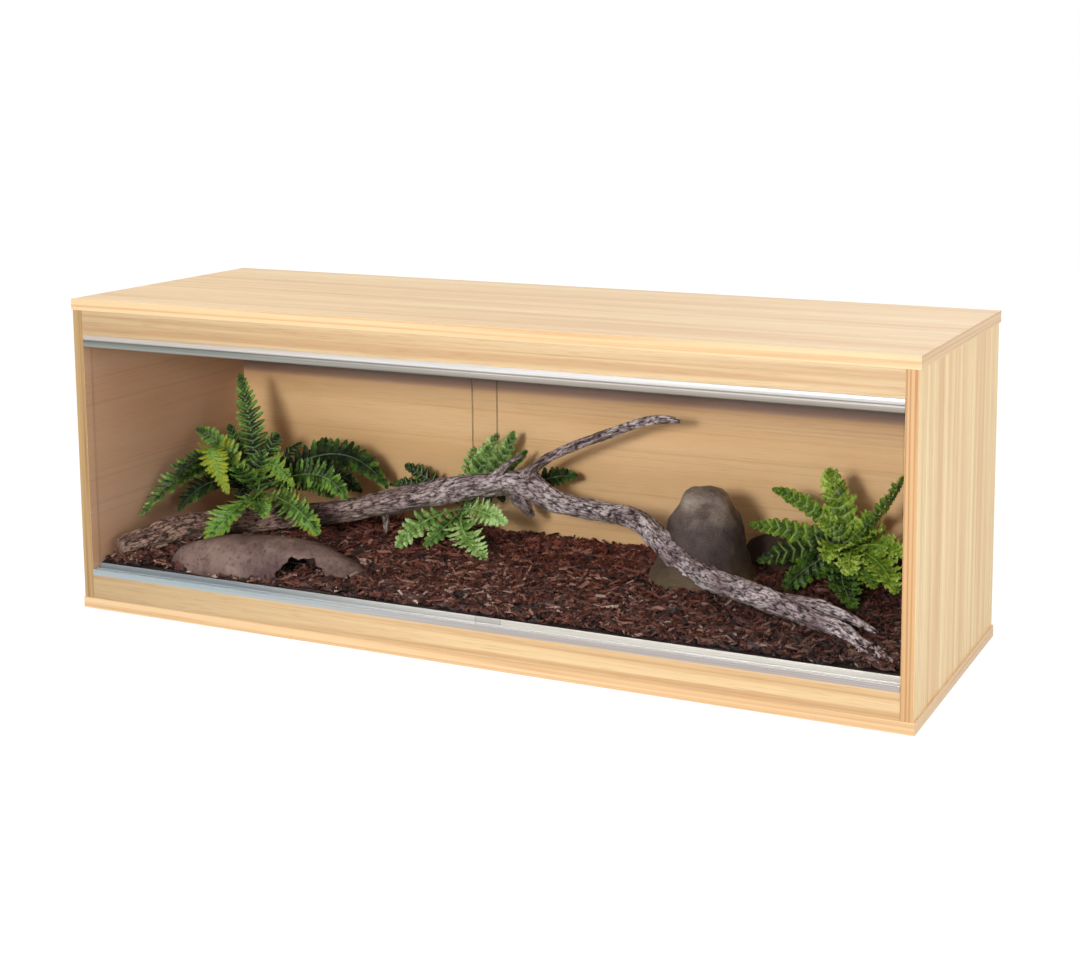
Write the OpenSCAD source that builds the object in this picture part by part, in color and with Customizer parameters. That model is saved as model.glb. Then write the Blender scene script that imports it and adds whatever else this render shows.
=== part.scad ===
// Reptile terrarium: a faced-board cabinet with two sliding glass panes, furnished with bark,
// a driftwood branch, a cave hide, two stones and three ferns.
// Millimetres. Origin at the centre of the underside, +X to the right seen from the front,
// +Y to the back, +Z up.

/* [Cabinet] */
// Width over the top and base panels
case_w = 1150; // [1130:10:1300]
// Depth over the top and base panels
case_d = 375; // [370:5:450]
// Height over the top and base panels
case_h = 421; // [400:1:500]
// Thickness of the faced boards
board_t = 15; // [15:1:18]
// How far the ends of the top and base stand past the sides
side_inset = 2; // [0:0.5:4]
// How far the rear edges of the sides sit in from the rear of the base
side_back_inset = 2; // [0:0.5:6]
// Height of the front strip under the top panel
fascia_h = 32; // [28:1:50]
// Height of the front strip on the base panel
rail_h = 32; // [28:1:45]
// Thickness of the edging tape
band_t = 0.5; // [0.4:0.1:1]
// Bevel along the edging tape
band_arris = 0.3; // [0.2:0.1:0.5]

/* [Back panel] */
// Thickness of the back panel
back_t = 5; // [3:0.5:6]
// From the rear of the base to the rear face of the back panel
back_recess = 23; // [15:1:26]
// Depth of the grooves that hold the back panel
groove_depth = 6; // [4:0.5:8]
// Play of the back panel in its grooves, each side
groove_play = 0.2; // [0.1:0.1:0.5]

/* [Runners and glass] */
// Thickness of the glass panes
glass_t = 4; // [4:0.5:5]
// Play of a pane in its channel, each side
glass_play = 0.8; // [0.4:0.1:1]
// Wall thickness of the runner extrusions
runner_wall = 1.6; // [1.2:0.1:2]
// Height of the upper runner below the fascia
upper_runner_h = 16.5; // [14:0.5:20]
// Height of the two front legs of the lower runner
lower_leg_h = 8; // [7:0.5:9]
// Height of the inner leg of the lower runner, which keeps the bark back
inner_leg_h = 13; // [10:0.5:16]
// Depth of the fin that is pressed into the saw kerf of each strip
fin_depth = 7; // [5:0.5:8]
// Thickness of the fin
fin_t = 1.6; // [1.2:0.1:2]
// Play of the fin in its kerf, each side
kerf_play = 0.2; // [0.1:0.1:0.4]
// How far a resting pane reaches into the upper runner
glass_lap = 7.5; // [6:0.5:8]
// Lift of a resting pane off the channel floor
glass_lift = 0.3; // [0.2:0.1:0.5]
// Gap between a closed pane and the side panel
pane_end_gap = 2; // [1:0.5:4]
// How far the closed panes overlap
pane_overlap = 30; // [20:1:60]
// Middle of the overlap, to the right of the middle of the case
overlap_x = 41; // [-60:1:60]

/* [Board fittings] */
// Diameter of the cam locks
cam_d = 15; // [12:1:15]
// Depth of the blind bore for a cam lock and its cap
cam_bore_depth = 13; // [12:0.5:13.5]
// Thickness of the plastic caps over the cam locks
cam_cap_t = 1.2; // [1:0.1:2]
// From the board joint to the middle of a cam lock
cam_reach = 24; // [20:1:34]
// Shank diameter of the cam bolts
bolt_d = 6; // [5:0.5:7]
// Depth of a cam bolt in the board it is screwed into
bolt_bite = 11; // [8:0.5:12]
// Diameter of the wooden dowels
dowel_d = 8; // [6:1:8]
// Length of the wooden dowels
dowel_l = 28; // [24:1:35]
// Depth of a dowel in a board's face
dowel_bite = 10; // [8:0.5:11]
// Radial play of fittings in their holes
fitting_play = 0.1; // [0.05:0.05:0.2]
// From the front of the case to the front fittings of a side
fitting_front = 45; // [40:1:60]
// From the rear of the case to the rear fittings of a side
fitting_back = 72; // [60:1:90]
// Distance between a cam lock and the dowel beside it
fitting_pitch = 32; // [25:1:40]
// Distance of the outer dowels of a strip from its middle
strip_dowel_x = 380; // [200:10:480]

/* [Vents and cable hole] */
// Diameter of the vent holes in the back panel
vent_hole_d = 62; // [50:1:66]
// Width of the flange outside a vent hole
vent_flange_w = 5; // [3:0.5:7]
// Thickness of the flanges
flange_t = 2; // [1.5:0.5:3]
// Distance of the vents from the middle of the case
vent_x = 330; // [200:5:400]
// Distance of vents and cable hole below the top panel
vent_drop = 66; // [50:1:75]
// Wall of the vent tube
vent_wall = 1.8; // [1.5:0.1:3]
// Number of louvre slats in a vent
slat_count = 6; // [4:1:8]
// Thickness of a slat
slat_t = 1.6; // [1.2:0.1:2.5]
// Slope of the slats
slat_angle = 40; // [20:5:60]
// Length of the vent and grommet tubes behind the back panel
tube_tail = 6; // [4:0.5:10]
// Bore of the cable grommet
cable_bore_d = 32; // [20:1:40]
// Wall of the cable grommet
grommet_wall = 2; // [1.5:0.5:3]
// From the cable hole to the right side panel
cable_edge = 68; // [50:2:120]

/* [Furnishing] */
// Depth of the bark above the base panel
bark_depth = 55; // [48:1:70]
// Deepest dip in the face of the bark
bark_dip = 3.5; // [0:0.5:8]
// How far the bark drops along its front edge
bark_front_drop = 8; // [4:0.5:10]
// Clearance between loose pieces and what they lie on
bed_gap = 0.3; // [0.1:0.1:0.5]
// Height of the fork of the branch above the bark
branch_rise = 91; // [70:1:110]
// Diameter of the branch at its fork
branch_d = 32; // [26:1:36]
// How far the cave hide is worked down into the bark
hide_sink = 12; // [0:1:14]
// Height of the cave hide
hide_h = 50; // [44:1:56]
// Half length of the cave hide
hide_a = 134; // [110:1:140]
// Half depth of the cave hide
hide_b = 46; // [40:1:50]
// Wall thickness of the cave hide
hide_wall = 6; // [4:0.5:9]
// Width of the mouth of the hide
hide_mouth_w = 56; // [45:1:70]
// Height of the mouth of the hide
hide_mouth_h = 30; // [24:1:34]
// Height of the upright stone
rock_h = 120; // [90:1:140]
// Half width of the upright stone
rock_a = 66; // [55:1:70]
// Height of the low slate stone
ledge_h = 48; // [30:1:55]
// Height of the left fern above the bark
left_fern_h = 219; // [190:1:235]
// Height of the middle fern above the bark
middle_fern_h = 154; // [140:1:165]
// Height of the right fern above the bark
right_fern_h = 157; // [140:1:165]
// Diameter of a fern's root plug
root_d = 26; // [20:1:32]
// Depth of a fern's root plug in the bark
root_depth = 25; // [15:1:35]
// Diameter of a fern's neck at the crown
neck_d = 12; // [8:1:18]
// Leaflets on each side of a frond
leaflets = 9; // [6:1:12]

/* [Hidden] */
$fn = 48;

// A small overrun, so that cutters pass clean through the faces they open
over = 1;

// Cabinet planes
front = -case_d / 2;
side_out = case_w / 2 - side_inset;
side_in = side_out - board_t;
side_mid = side_out - board_t / 2;
side_rear = case_d / 2 - side_back_inset;
floor_z = board_t;
ceiling_z = case_h - board_t;
rail_top = floor_z + rail_h;
fascia_bottom = ceiling_z - fascia_h;
strip_mid_y = front + board_t / 2;

// Back panel planes
back_rear = case_d / 2 - back_recess;
back_face = back_rear - back_t;
groove_w = back_t + 2 * groove_play;
back_grip = groove_depth - groove_play;

// Runner profile, measured back from the front of the case
front_leg_t = 2.4;
channel_w = glass_t + 2 * glass_play;
runner_d = front_leg_t + 2 * channel_w + 2 * runner_wall;
outer_channel = front_leg_t;
inner_channel = outer_channel + channel_w + runner_wall;
runner_l = 2 * side_in - 1;
kerf_depth = fin_depth + 1;
bead_r = 8;
bead_half = upper_runner_h / 4;
bead_sag = bead_r - sqrt(bead_r * bead_r - bead_half * bead_half);

// Glass panes
glass_bottom = rail_top + runner_wall + glass_lift;
glass_top = fascia_bottom - upper_runner_h + glass_lap;
glass_arris = 0.5;

// Board fittings
cam_lock_h = cam_bore_depth - cam_cap_t - fitting_play;
bolt_run_d = bolt_d + 1;
strip_cam_offset = 14;
fitting_y = [front + fitting_front, case_d / 2 - fitting_back];
dowel_y = [fitting_y[0] + fitting_pitch, fitting_y[1] - fitting_pitch];
strip_dowels = [-strip_dowel_x, 0, strip_dowel_x];

// Vents and cable hole
vent_z = ceiling_z - vent_drop;
vent_bore = vent_hole_d - 2 * vent_wall - 2 * groove_play;
tube_l = flange_t + back_t + tube_tail;
cable_hole_d = cable_bore_d + 2 * grommet_wall;
cable_x = side_in - cable_edge;

// Furnishing. Heights are above the bark, depths are measured back from the front of the case.
bark_z = floor_z + bark_depth;
bark_front = front + runner_d + bed_gap;
bark_back = back_face - bed_gap;
bark_half = side_in - bed_gap;

// The branch crosses the whole tank, so its points follow the tank's width and depth.
tank_kx = side_in / 558;
tank_ky = (back_face - front) / 347;
branch_kz = branch_rise / 91;
branch_kr = branch_d / 32;
function branch_point(p) = [p[0] * tank_kx, front + p[1] * tank_ky, bark_z + p[2] * branch_kz,
    p[3] * branch_kr];
// Each point: along the tank, back from the front, above the bark, radius
trunk_points = [for (p = [
    [-538, 32, 10, 15], [-520, 73, 20, 19], [-502, 116, 22, 19], [-476, 155, 18, 18],
    [-420, 188, 22, 16], [-317, 222, 38, 15.5], [-231, 246, 55, 16.5], [-155, 262, 74, 17],
    [-80, 268, 91, 16], [-34, 268, 89, 18], [15, 260, 75, 14], [96, 242, 73, 12.5],
    [149, 224, 71, 13.5], [181, 204, 58, 14.5], [208, 188, 45, 15], [244, 172, 33, 15],
    [304, 146, 24, 14], [360, 124, 22, 13], [413, 103, 17, 12], [465, 84, 10, 10],
    [512, 60, 0, 9], [532, 50, -4, 7]]) branch_point(p)];
twig_points = [for (p = [
    [-43, 268, 101, 9], [-20, 270, 123, 6.5], [16, 274, 144, 6], [66, 278, 166, 6.5],
    [123, 280, 188, 6], [155, 280, 196, 6], [180, 278, 196, 3]]) branch_point(p)];
spur_points = [for (p = [[-84, 260, 102, 6], [-60, 254, 122, 4], [-37, 250, 137, 3]])
    branch_point(p)];
stub_points = [for (p = [[-60, 272, 79, 12], [-50, 280, 60, 9], [-42, 288, 43, 4]])
    branch_point(p)];
peg_points = [for (p = [[-252, 248, 43, 7], [-255, 254, 18, 4], [-257, 256, bed_gap, 3]])
    branch_point(p)];

// The hide lies behind the left pane, turned a little towards it.
hide_at = [230 - side_in, front + 75];
hide_z = bark_z - hide_sink;
hide_turn = 12;
hide_mouth_at = [60, -30];

// The upright stone and the slate stone behind the right fern
rock_at = [230 * tank_kx, front + 219 * tank_ky];
rock_k = rock_a / 66;
rock_rings = [for (r = [[0, 66, 78, 0], [0.07, 67, 75, 0], [0.3, 59, 60, 5], [0.6, 49, 47, 12],
    [0.83, 40, 36, 18], [0.95, 30, 27, 20], [1, 15, 13, 20]])
    [r[0], r[1] * rock_k, r[2] * rock_k, r[3] * rock_k]];
ledge_at = [side_in - 158, back_face - 27];
ledge_rings = [[0, 138, 22], [0.25, 140, 25], [0.75, 132, 20], [1, 112, 11]];

// Each frond, from the crown: the point that its arch bends towards, its tip, its width, and
// how the line across the blade turns about Z and rises.
left_root = [114 - side_in, front + 218 * tank_ky];
left_k = left_fern_h / 219;
left_crown_h = 53 * left_k;
left_fronds = [
    [[-11, 11, 76], [-39, 18, 166], 46, 24, 0],
    [[-66, -28, 92], [-106, -128, -16], 52, -50, -35],
    [[-56, -17, 86], [-95, -14, 86], 32, 24, 40],
    [[-86, -44, 130], [-3, -64, 11], 54, 24, 0],
    [[50, -103, 20], [-4, -114, -42], 60, 20, 15],
    [[24, -24, 84], [101, -56, 30], 44, 24, 40],
    [[112, -8, 69], [165, -24, 12], 46, 60, 60],
    [[125, -80, 20], [154, -80, -25], 46, 24, 45],
    [[98, 66, 104], [168, 76, 4], 52, 60, 60],
    [[33, 34, 59], [44, 44, 66], 26, 24, 30],
    [[53, 89, 67], [81, 70, 64], 26, 24, 40],
    [[2, 23, 64], [18, 26, 79], 34, 24, 10],
    [[-38, 9, 56], [-59, 14, 91], 30, 24, 10],
    [[-64, -32, 97], [-66, -112, 23], 40, -50, -30],
    [[-52, -18, 38], [-86, -44, -7], 36, -30, -35],
    [[61, -94, 22], [79, -92, -5], 40, 24, 0],
    [[82, 50, 38], [145, 44, 5], 40, 60, 60],
    [[8, -6, 37], [17, -12, 62], 40, 24, 0],
    [[-1, -42, 44], [2, -52, 46], 36, 24, 10]];
middle_root = [-149 * tank_kx, front + 287 * tank_ky];
middle_k = middle_fern_h / 154;
middle_crown_h = 42 * middle_k;
middle_fronds = [
    [[16, 18, 56], [47, 16, 108], 38, 24, 15],
    [[56, 20, 74], [68, 24, 112], 28, 24, 15],
    [[71, 16, 68], [90, 16, 88], 32, 24, 35],
    [[2, 14, 42], [7, 20, 85], 32, 24, 0],
    [[-73, 28, 36], [-108, 24, 48], 30, 24, 50],
    [[-73, 28, 36], [-136, 24, 16], 26, 40, 60],
    [[120, 30, 60], [162, 28, 56], 34, 40, 60],
    [[-33, -70, 5], [-52, -92, -38], 42, 24, -15],
    [[68, -88, 33], [103, -64, 7], 36, 24, 45],
    [[14, -62, -2], [-19, -76, -35], 32, 24, -30],
    [[21, -66, -12], [87, -92, -37], 50, 24, 15],
    [[27, 11, 73], [36, 10, 91], 32, 24, 10]];
right_root = [side_in - 142, ledge_at[1] - 42];
right_k = right_fern_h / 157;
right_crown_h = 53 * right_k;
right_fronds = [
    [[-16, -6, 52], [-28, -12, 101], 48, 24, 0],
    [[-59, -10, 64], [-100, -20, 70], 26, 24, 50],
    [[-62, -22, 25], [-126, -36, 25], 30, 40, 60],
    [[49, -5, 68], [71, -22, 104], 24, 24, 35],
    [[-49, -29, 10], [-116, -30, -23], 38, 24, 50],
    [[-35, -46, -2], [-69, -60, -45], 44, 24, -30],
    [[-8, -63, -16], [35, -98, -46], 50, 24, 0],
    [[57, -54, 10], [81, -84, -25], 46, 24, 15],
    [[43, -4, 18], [82, -56, 13], 40, 24, 45],
    [[11, 3, 24], [24, 2, 47], 36, 24, 20],
    [[-15, -36, 20], [-15, -56, -3], 42, 24, 0],
    [[11, -48, 9], [16, -64, -15], 42, 24, 10],
    [[28, -21, 24], [47, -30, 37], 38, 24, 30],
    [[-16, -14, 32], [-35, -20, 38], 36, 24, 10],
    [[33, -52, -7], [53, -80, -23], 42, 24, 10]];
root_play = 0.3;

faced_board = "#e6c38e";
edging = "#d9ae74";
metal = "#b9bcbd";
glass_tint = [0.8, 0.92, 0.9, 0.25];
steel = "#8d9094";
plastic = "#3a352f";

// Drawing aids

// A closed solid through rings of equal count, each ring anticlockwise seen from its end.
module skin(rings) {
    n = len(rings[0]);
    m = len(rings);
    polyhedron(points = [for (ring = rings) each ring], faces = concat(
        [[for (j = [0:n - 1]) j]],
        [for (i = [0:m - 2], j = [0:n - 1]) let (k = (j + 1) % n)
            [i * n + j, (i + 1) * n + j, (i + 1) * n + k]],
        [for (i = [0:m - 2], j = [0:n - 1]) let (k = (j + 1) % n)
            [i * n + j, (i + 1) * n + k, i * n + k]],
        [[for (j = [n - 1:-1:0]) (m - 1) * n + j]]), convexity = 8);
}

function unit(v) = v / norm(v);

// A point of a smooth curve through four neighbours, t from 0 to 1 between b and c.
function blend4(a, b, c, d, t) = 0.5 * (2 * b + (c - a) * t + (2 * a - 5 * b + 4 * c - d) * t * t
    + (3 * b - a - 3 * c + d) * t * t * t);

function smooth_path(p, steps) = let (m = len(p)) concat(
    [for (i = [0:m - 2], s = [0:steps - 1])
        blend4(p[max(i - 1, 0)], p[i], p[i + 1], p[min(i + 2, m - 1)], s / steps)],
    [p[m - 1]]);

// Uneven bark: the share by which a ring's radius swells at turn a and station i.
function bark_swell(a, i) = 0.10 * sin(3 * a + 47 * i) + 0.06 * sin(5 * a - 83 * i);

// A limb of wood along points of place and radius.
module limb(points, steps = 3, sides = 10, grow = 0) {
    path = smooth_path(points, steps);
    m = len(path);
    function place(q) = [q[0], q[1], q[2]];
    skin([for (i = [0:m - 1])
        let (along = unit(place(path[min(i + 1, m - 1)]) - place(path[max(i - 1, 0)])),
            across = unit(cross(along, [0, 0.2, 1])), up = cross(across, along))
        [for (j = [0:sides - 1]) let (a = -360 * j / sides,
            r = path[i][3] * (1 + bark_swell(a, i)) + grow)
            place(path[i]) + r * (cos(a) * across + sin(a) * up)]]);
}

module whole_branch(grow = 0) {
    limb(trunk_points, 3, 10, grow);
    limb(twig_points, 2, 7, grow);
    limb(spur_points, 2, 6, grow);
    limb(stub_points, 2, 7, grow);
    limb(peg_points, 2, 7, grow);
}

module profile_along_x(length) {
    translate([-length / 2, 0, 0]) rotate([90, 0, 90]) linear_extrude(length) children();
}

module mirrored_x() {
    children();
    mirror([1, 0, 0]) children();
}

// The faced boards

// What is cut in the inner face of the base, and mirrored in the top: z = 0 is that face.
module board_face_cuts() {
    mirrored_x() {
        for (y = fitting_y) translate([side_mid, y, -bolt_bite - fitting_play])
            cylinder(d = bolt_d + 2 * fitting_play, h = bolt_bite + over);
        for (y = dowel_y) translate([side_mid, y, -dowel_bite - fitting_play])
            cylinder(d = dowel_d + 2 * fitting_play, h = dowel_bite + over);
    }
    for (x = strip_dowels) translate([x, strip_mid_y, -dowel_bite - fitting_play])
        cylinder(d = dowel_d + 2 * fitting_play, h = dowel_bite + over);
    translate([-side_in - groove_depth, back_face - groove_play, -groove_depth])
        cube([2 * (side_in + groove_depth), groove_w, groove_depth + over]);
}

module board_core(z) {
    translate([band_t - case_w / 2, front + band_t, z])
        cube([case_w - 2 * band_t, case_d - band_t, board_t]);
}

module base_panel() color(faced_board) difference() {
    board_core(0);
    translate([0, 0, floor_z]) board_face_cuts();
}

module top_panel() color(faced_board) difference() {
    board_core(ceiling_z);
    translate([0, 0, ceiling_z]) mirror([0, 0, 1]) board_face_cuts();
}

// Puts its children at both ends of the right side panel, z into the side.
module at_side_ends(depths) {
    for (y = depths) {
        translate([side_mid, y, floor_z]) children();
        translate([side_mid, y, ceiling_z]) mirror([0, 0, 1]) children();
    }
}

// Puts its children at the right ends of the two front strips, z into the strip.
module at_strip_ends() {
    for (z = [floor_z + strip_cam_offset, ceiling_z - strip_cam_offset])
        translate([side_in, strip_mid_y, z]) rotate([90, 0, -90]) children();
}

module cam_cuts() {
    translate([-board_t / 2 - over, 0, cam_reach]) rotate([0, 90, 0])
        cylinder(d = cam_d, h = cam_bore_depth + over);
    translate([0, 0, -over]) cylinder(d = bolt_run_d, h = cam_reach + over);
}

module dowel_hole_in_end() {
    translate([0, 0, -over])
        cylinder(d = dowel_d + 2 * fitting_play, h = dowel_l - dowel_bite + fitting_play + over);
}

module side_panel() color(faced_board) difference() {
    translate([side_in, front + band_t, floor_z])
        cube([board_t, side_rear - front - band_t, ceiling_z - floor_z]);
    at_side_ends(fitting_y) cam_cuts();
    at_side_ends(dowel_y) dowel_hole_in_end();
    at_strip_ends() translate([0, 0, -bolt_bite - fitting_play])
        cylinder(d = bolt_d + 2 * fitting_play, h = bolt_bite + over);
    translate([side_in - over, back_face - groove_play, floor_z - over])
        cube([groove_depth + over, groove_w, ceiling_z - floor_z + 2 * over]);
}

module right_side_panel() side_panel();

module left_side_panel() mirror([1, 0, 0]) side_panel();

module through_back(x, d) {
    translate([x, back_face - over, vent_z]) rotate([-90, 0, 0])
        cylinder(d = d, h = back_t + 2 * over);
}

module back_panel() color(faced_board) difference() {
    translate([-side_in - back_grip, back_face, floor_z - back_grip])
        cube([2 * (side_in + back_grip), back_t, ceiling_z - floor_z + 2 * back_grip]);
    through_back(-vent_x, vent_hole_d);
    through_back(vent_x, vent_hole_d);
    through_back(cable_x, cable_hole_d);
}

// A front strip standing on the base: the fascia is the same strip turned over.
module front_strip(height) difference() {
    translate([-side_in, front, 0]) cube([2 * side_in, board_t, height]);
    mirrored_x() translate([side_in, strip_mid_y, strip_cam_offset]) rotate([90, 0, -90])
        cam_cuts();
    for (x = strip_dowels) translate([x, strip_mid_y, 0]) dowel_hole_in_end();
    translate([-side_in - over, strip_mid_y - fin_t / 2 - kerf_play, height - kerf_depth])
        cube([2 * (side_in + over), fin_t + 2 * kerf_play, kerf_depth + over]);
}

module bottom_rail() color(faced_board) translate([0, 0, floor_z]) front_strip(rail_h);

module top_fascia() color(faced_board) translate([0, 0, ceiling_z]) mirror([0, 0, 1])
    front_strip(fascia_h);

// Edging tape round the front and both ends of a board whose underside is at z
module wrap_band(z) color(edging) translate([0, 0, z + band_arris])
    linear_extrude(board_t - 2 * band_arris) difference() {
        translate([-case_w / 2, front]) square([case_w, case_d]);
        translate([band_t - case_w / 2, front + band_t]) square([case_w - 2 * band_t, case_d]);
    }

module base_edge_band() wrap_band(0);

module top_edge_band() wrap_band(ceiling_z);

module side_edge_bands() color(edging) mirrored_x()
    translate([side_in + band_arris, front, floor_z])
        cube([board_t - 2 * band_arris, band_t, ceiling_z - floor_z]);

// Flat-pack fittings. Drawn as in a side panel: the joint at z = 0, the cam's mouth towards -x.

module at_all_cams() {
    mirrored_x() {
        at_side_ends(fitting_y) children();
        at_strip_ends() children();
    }
}

module cam_bolts() color(steel) at_all_cams() {
    translate([0, 0, -bolt_bite]) cylinder(d = bolt_d, h = bolt_bite + cam_reach - 5);
    translate([0, 0, cam_reach - 5]) cylinder(d = bolt_d - 2, h = 4);
    translate([0, 0, cam_reach - 1.5]) cylinder(d = bolt_d, h = 3);
}

module cam_locks() color(steel) at_all_cams() difference() {
    translate([cam_cap_t + fitting_play - board_t / 2, 0, cam_reach]) rotate([0, 90, 0])
        cylinder(d = cam_d - 2 * fitting_play, h = cam_lock_h - fitting_play);
    cylinder(d = bolt_d + 4 * fitting_play, h = cam_reach + 2);
}

module cam_caps() color(plastic) at_all_cams()
    translate([-board_t / 2, 0, cam_reach]) rotate([0, 90, 0])
        cylinder(d = cam_d - 2 * fitting_play, h = cam_cap_t);

module dowel() {
    tip = 1;
    translate([0, 0, -dowel_bite]) {
        cylinder(d1 = dowel_d - 2 * tip, d2 = dowel_d, h = tip);
        translate([0, 0, tip]) cylinder(d = dowel_d, h = dowel_l - 2 * tip);
        translate([0, 0, dowel_l - tip]) cylinder(d1 = dowel_d, d2 = dowel_d - 2 * tip, h = tip);
    }
}

module wooden_dowels() color("#caa36b") {
    mirrored_x() at_side_ends(dowel_y) dowel();
    for (x = strip_dowels) {
        translate([x, strip_mid_y, floor_z]) dowel();
        translate([x, strip_mid_y, ceiling_z]) mirror([0, 0, 1]) dowel();
    }
}

// Runners. Profiles: x is the depth behind the front of the case, y is up from the strip's edge.

module runner_channels(base, height) {
    for (x = [outer_channel, inner_channel]) translate([x, base]) square([channel_w, height]);
}

// A fin with two pairs of barbs, standing up from y = 0
module barbed_fin() {
    translate([board_t / 2 - fin_t / 2, 0]) square([fin_t, fin_depth]);
    barb = 0.75 * kerf_play;
    for (y = [0.35, 0.7] * fin_depth) translate([board_t / 2, y])
        polygon([[-fin_t / 2 - barb, 0], [fin_t / 2 + barb, 0], [0, fin_depth / 4]]);
}

// Upper runner: a rounded bead on the upper half of its face, then a notch and a flat
module upper_profile() {
    bead_end = asin(bead_half / bead_r);
    notch = 0.6;
    flat_x = 0.4;
    difference() {
        polygon(concat(
            [for (a = [bead_end:-bead_end / 4:-bead_end - 0.01])
                [bead_r - bead_r * cos(a), -bead_half + bead_r * sin(a)]],
            [[bead_sag + notch, -2 * bead_half], [bead_sag + notch, -2 * bead_half - notch],
            [flat_x, -2 * bead_half - notch], [flat_x, flat_x - upper_runner_h],
            [2 * flat_x, -upper_runner_h], [runner_d, -upper_runner_h], [runner_d, 0]]));
        runner_channels(-upper_runner_h - over, upper_runner_h - runner_wall + over);
    }
    barbed_fin();
}

module round_leg(x, t, height) {
    translate([x, 0]) square([t, height - t / 2]);
    translate([x + t / 2, height - t / 2]) circle(d = t);
}

module lower_profile() {
    square([runner_d, runner_wall]);
    round_leg(0, front_leg_t, lower_leg_h);
    round_leg(outer_channel + channel_w, runner_wall, lower_leg_h);
    round_leg(inner_channel + channel_w, runner_wall, inner_leg_h);
    mirror([0, 1]) barbed_fin();
}

module upper_runner() color(metal) translate([0, front, fascia_bottom])
    profile_along_x(runner_l) upper_profile();

module lower_runner() color(metal) translate([0, front, rail_top])
    profile_along_x(runner_l) lower_profile();

// A pane from x0 to x1 in the channel that starts at depth, its upright edges bevelled
module pane(x0, x1, depth) color(glass_tint)
    translate([x0, front + depth + glass_play, glass_bottom])
        linear_extrude(glass_top - glass_bottom) let (w = x1 - x0, b = glass_arris)
            polygon([[b, 0], [w - b, 0], [w, b], [w, glass_t - b], [w - b, glass_t],
                [b, glass_t], [0, glass_t - b], [0, b]]);

module left_glass_pane()
    pane(pane_end_gap - side_in, overlap_x + pane_overlap / 2, inner_channel);

module right_glass_pane()
    pane(overlap_x - pane_overlap / 2, side_in - pane_end_gap, outer_channel);

// Vents and grommet. Drawn with the back panel's inner face at z = 0 and z to the rear.

module at_back(x) translate([x, back_face, vent_z]) rotate([-90, 0, 0]) children();

// A flanged tube that snaps into a hole, held by four nibs behind the panel
module snap_bush(hole_d, bore_d) {
    tube_d = hole_d - 2 * groove_play;
    nib = 1.2;
    difference() {
        union() {
            translate([0, 0, -flange_t]) cylinder(d1 = hole_d + 2 * vent_flange_w - 2,
                d2 = hole_d + 2 * vent_flange_w, h = flange_t / 2);
            translate([0, 0, -flange_t / 2])
                cylinder(d = hole_d + 2 * vent_flange_w, h = flange_t / 2);
            translate([0, 0, -over / 2]) cylinder(d = tube_d, h = back_t + tube_tail + over / 2);
            for (a = [45:90:315]) rotate(a)
                translate([tube_d / 2 - nib, -3, back_t + groove_play]) cube([2 * nib, 6, nib]);
        }
        translate([0, 0, -flange_t - over]) cylinder(d = bore_d, h = tube_l + 2 * over);
    }
}

module louvred_vent() color(plastic) {
    snap_bush(vent_hole_d, vent_bore);
    pitch = vent_bore / slat_count;
    slat_depth = 6;
    intersection() {
        translate([0, 0, -flange_t]) cylinder(d = vent_bore + vent_wall, h = flange_t + back_t);
        union() {
            for (k = [0:slat_count - 1])
                translate([0, (k + 0.5 - slat_count / 2) * pitch, 1.5]) rotate([slat_angle, 0, 0])
                    cube([vent_bore + vent_wall, slat_t, slat_depth], center = true);
            translate([-slat_t / 2, -vent_bore / 2 - vent_wall / 2, 0])
                cube([slat_t, vent_bore + vent_wall, 3]);
        }
    }
}

module left_vent() at_back(-vent_x) louvred_vent();

module right_vent() at_back(vent_x) louvred_vent();

module cable_grommet() color(plastic) at_back(cable_x) snap_bush(cable_hole_d, cable_bore_d);

// Furnishing

function ellipse_reach(p, c, a, b) = norm([(p[0] - c[0]) / a, (p[1] - c[1]) / b]);

function clamp01(t) = min(max(t, 0), 1);

// Where something stands, the bark is level: 0 there, rising to 1 away from it.
bed_margin = 22;
beds = [[hide_at, hide_a, hide_b], [rock_at, rock_rings[1][1], rock_rings[0][2]],
    [ledge_at, ledge_rings[1][1], ledge_rings[1][2]],
    [left_root, root_d, root_d], [middle_root, root_d, root_d], [right_root, root_d, root_d]];
function bark_loose(p) = min([for (bed = beds)
    clamp01((ellipse_reach(p, bed[0], bed[1] + bed_margin, bed[2] + bed_margin) - 1) / 0.3)]);

// The hide's own bed is sunk: 1 under it, fading to 0 round it.
function hide_bed(p) =
    1 - clamp01((ellipse_reach(p, hide_at, hide_a + 12, hide_b + 14) - 1) / 0.3);

function bark_level(x, y) = bark_z - hide_sink * hide_bed([x, y]) - bark_loose([x, y])
    * (bark_dip * (0.5 + 0.3 * sin(1.9 * x + 2.3 * y) + 0.2 * sin(4.7 * x - 3.1 * y))
    + bark_front_drop * clamp01(1 - (y - bark_front) / 40));

module bark_substrate() color("#4a2d22") {
    columns = 36;
    rows = 11;
    difference() {
        skin([for (i = [0:columns]) let (x = bark_half * (2 * i / columns - 1)) concat(
            [[x, bark_back, floor_z]],
            [for (j = [rows:-1:0]) let (y = bark_front + (bark_back - bark_front) * j / rows)
                [x, y, bark_level(x, y)]],
            [[x, bark_front, floor_z]])]);
        limb(trunk_points, 3, 10, bed_gap);
        translate([hide_at[0], hide_at[1], hide_z]) rotate(hide_turn)
            scale([hide_a * 1.06, hide_b * 1.1, 1]) cylinder(r = 1, h = hide_sink + over, $fn = 36);
        for (root = [left_root, middle_root, right_root])
            translate([root[0], root[1], bark_z - root_depth - root_play])
                cylinder(d = root_d + 2 * root_play, h = root_depth + bark_dip, $fn = 12);
    }
}

module driftwood_branch() color("#7d7175") whole_branch();

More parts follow.
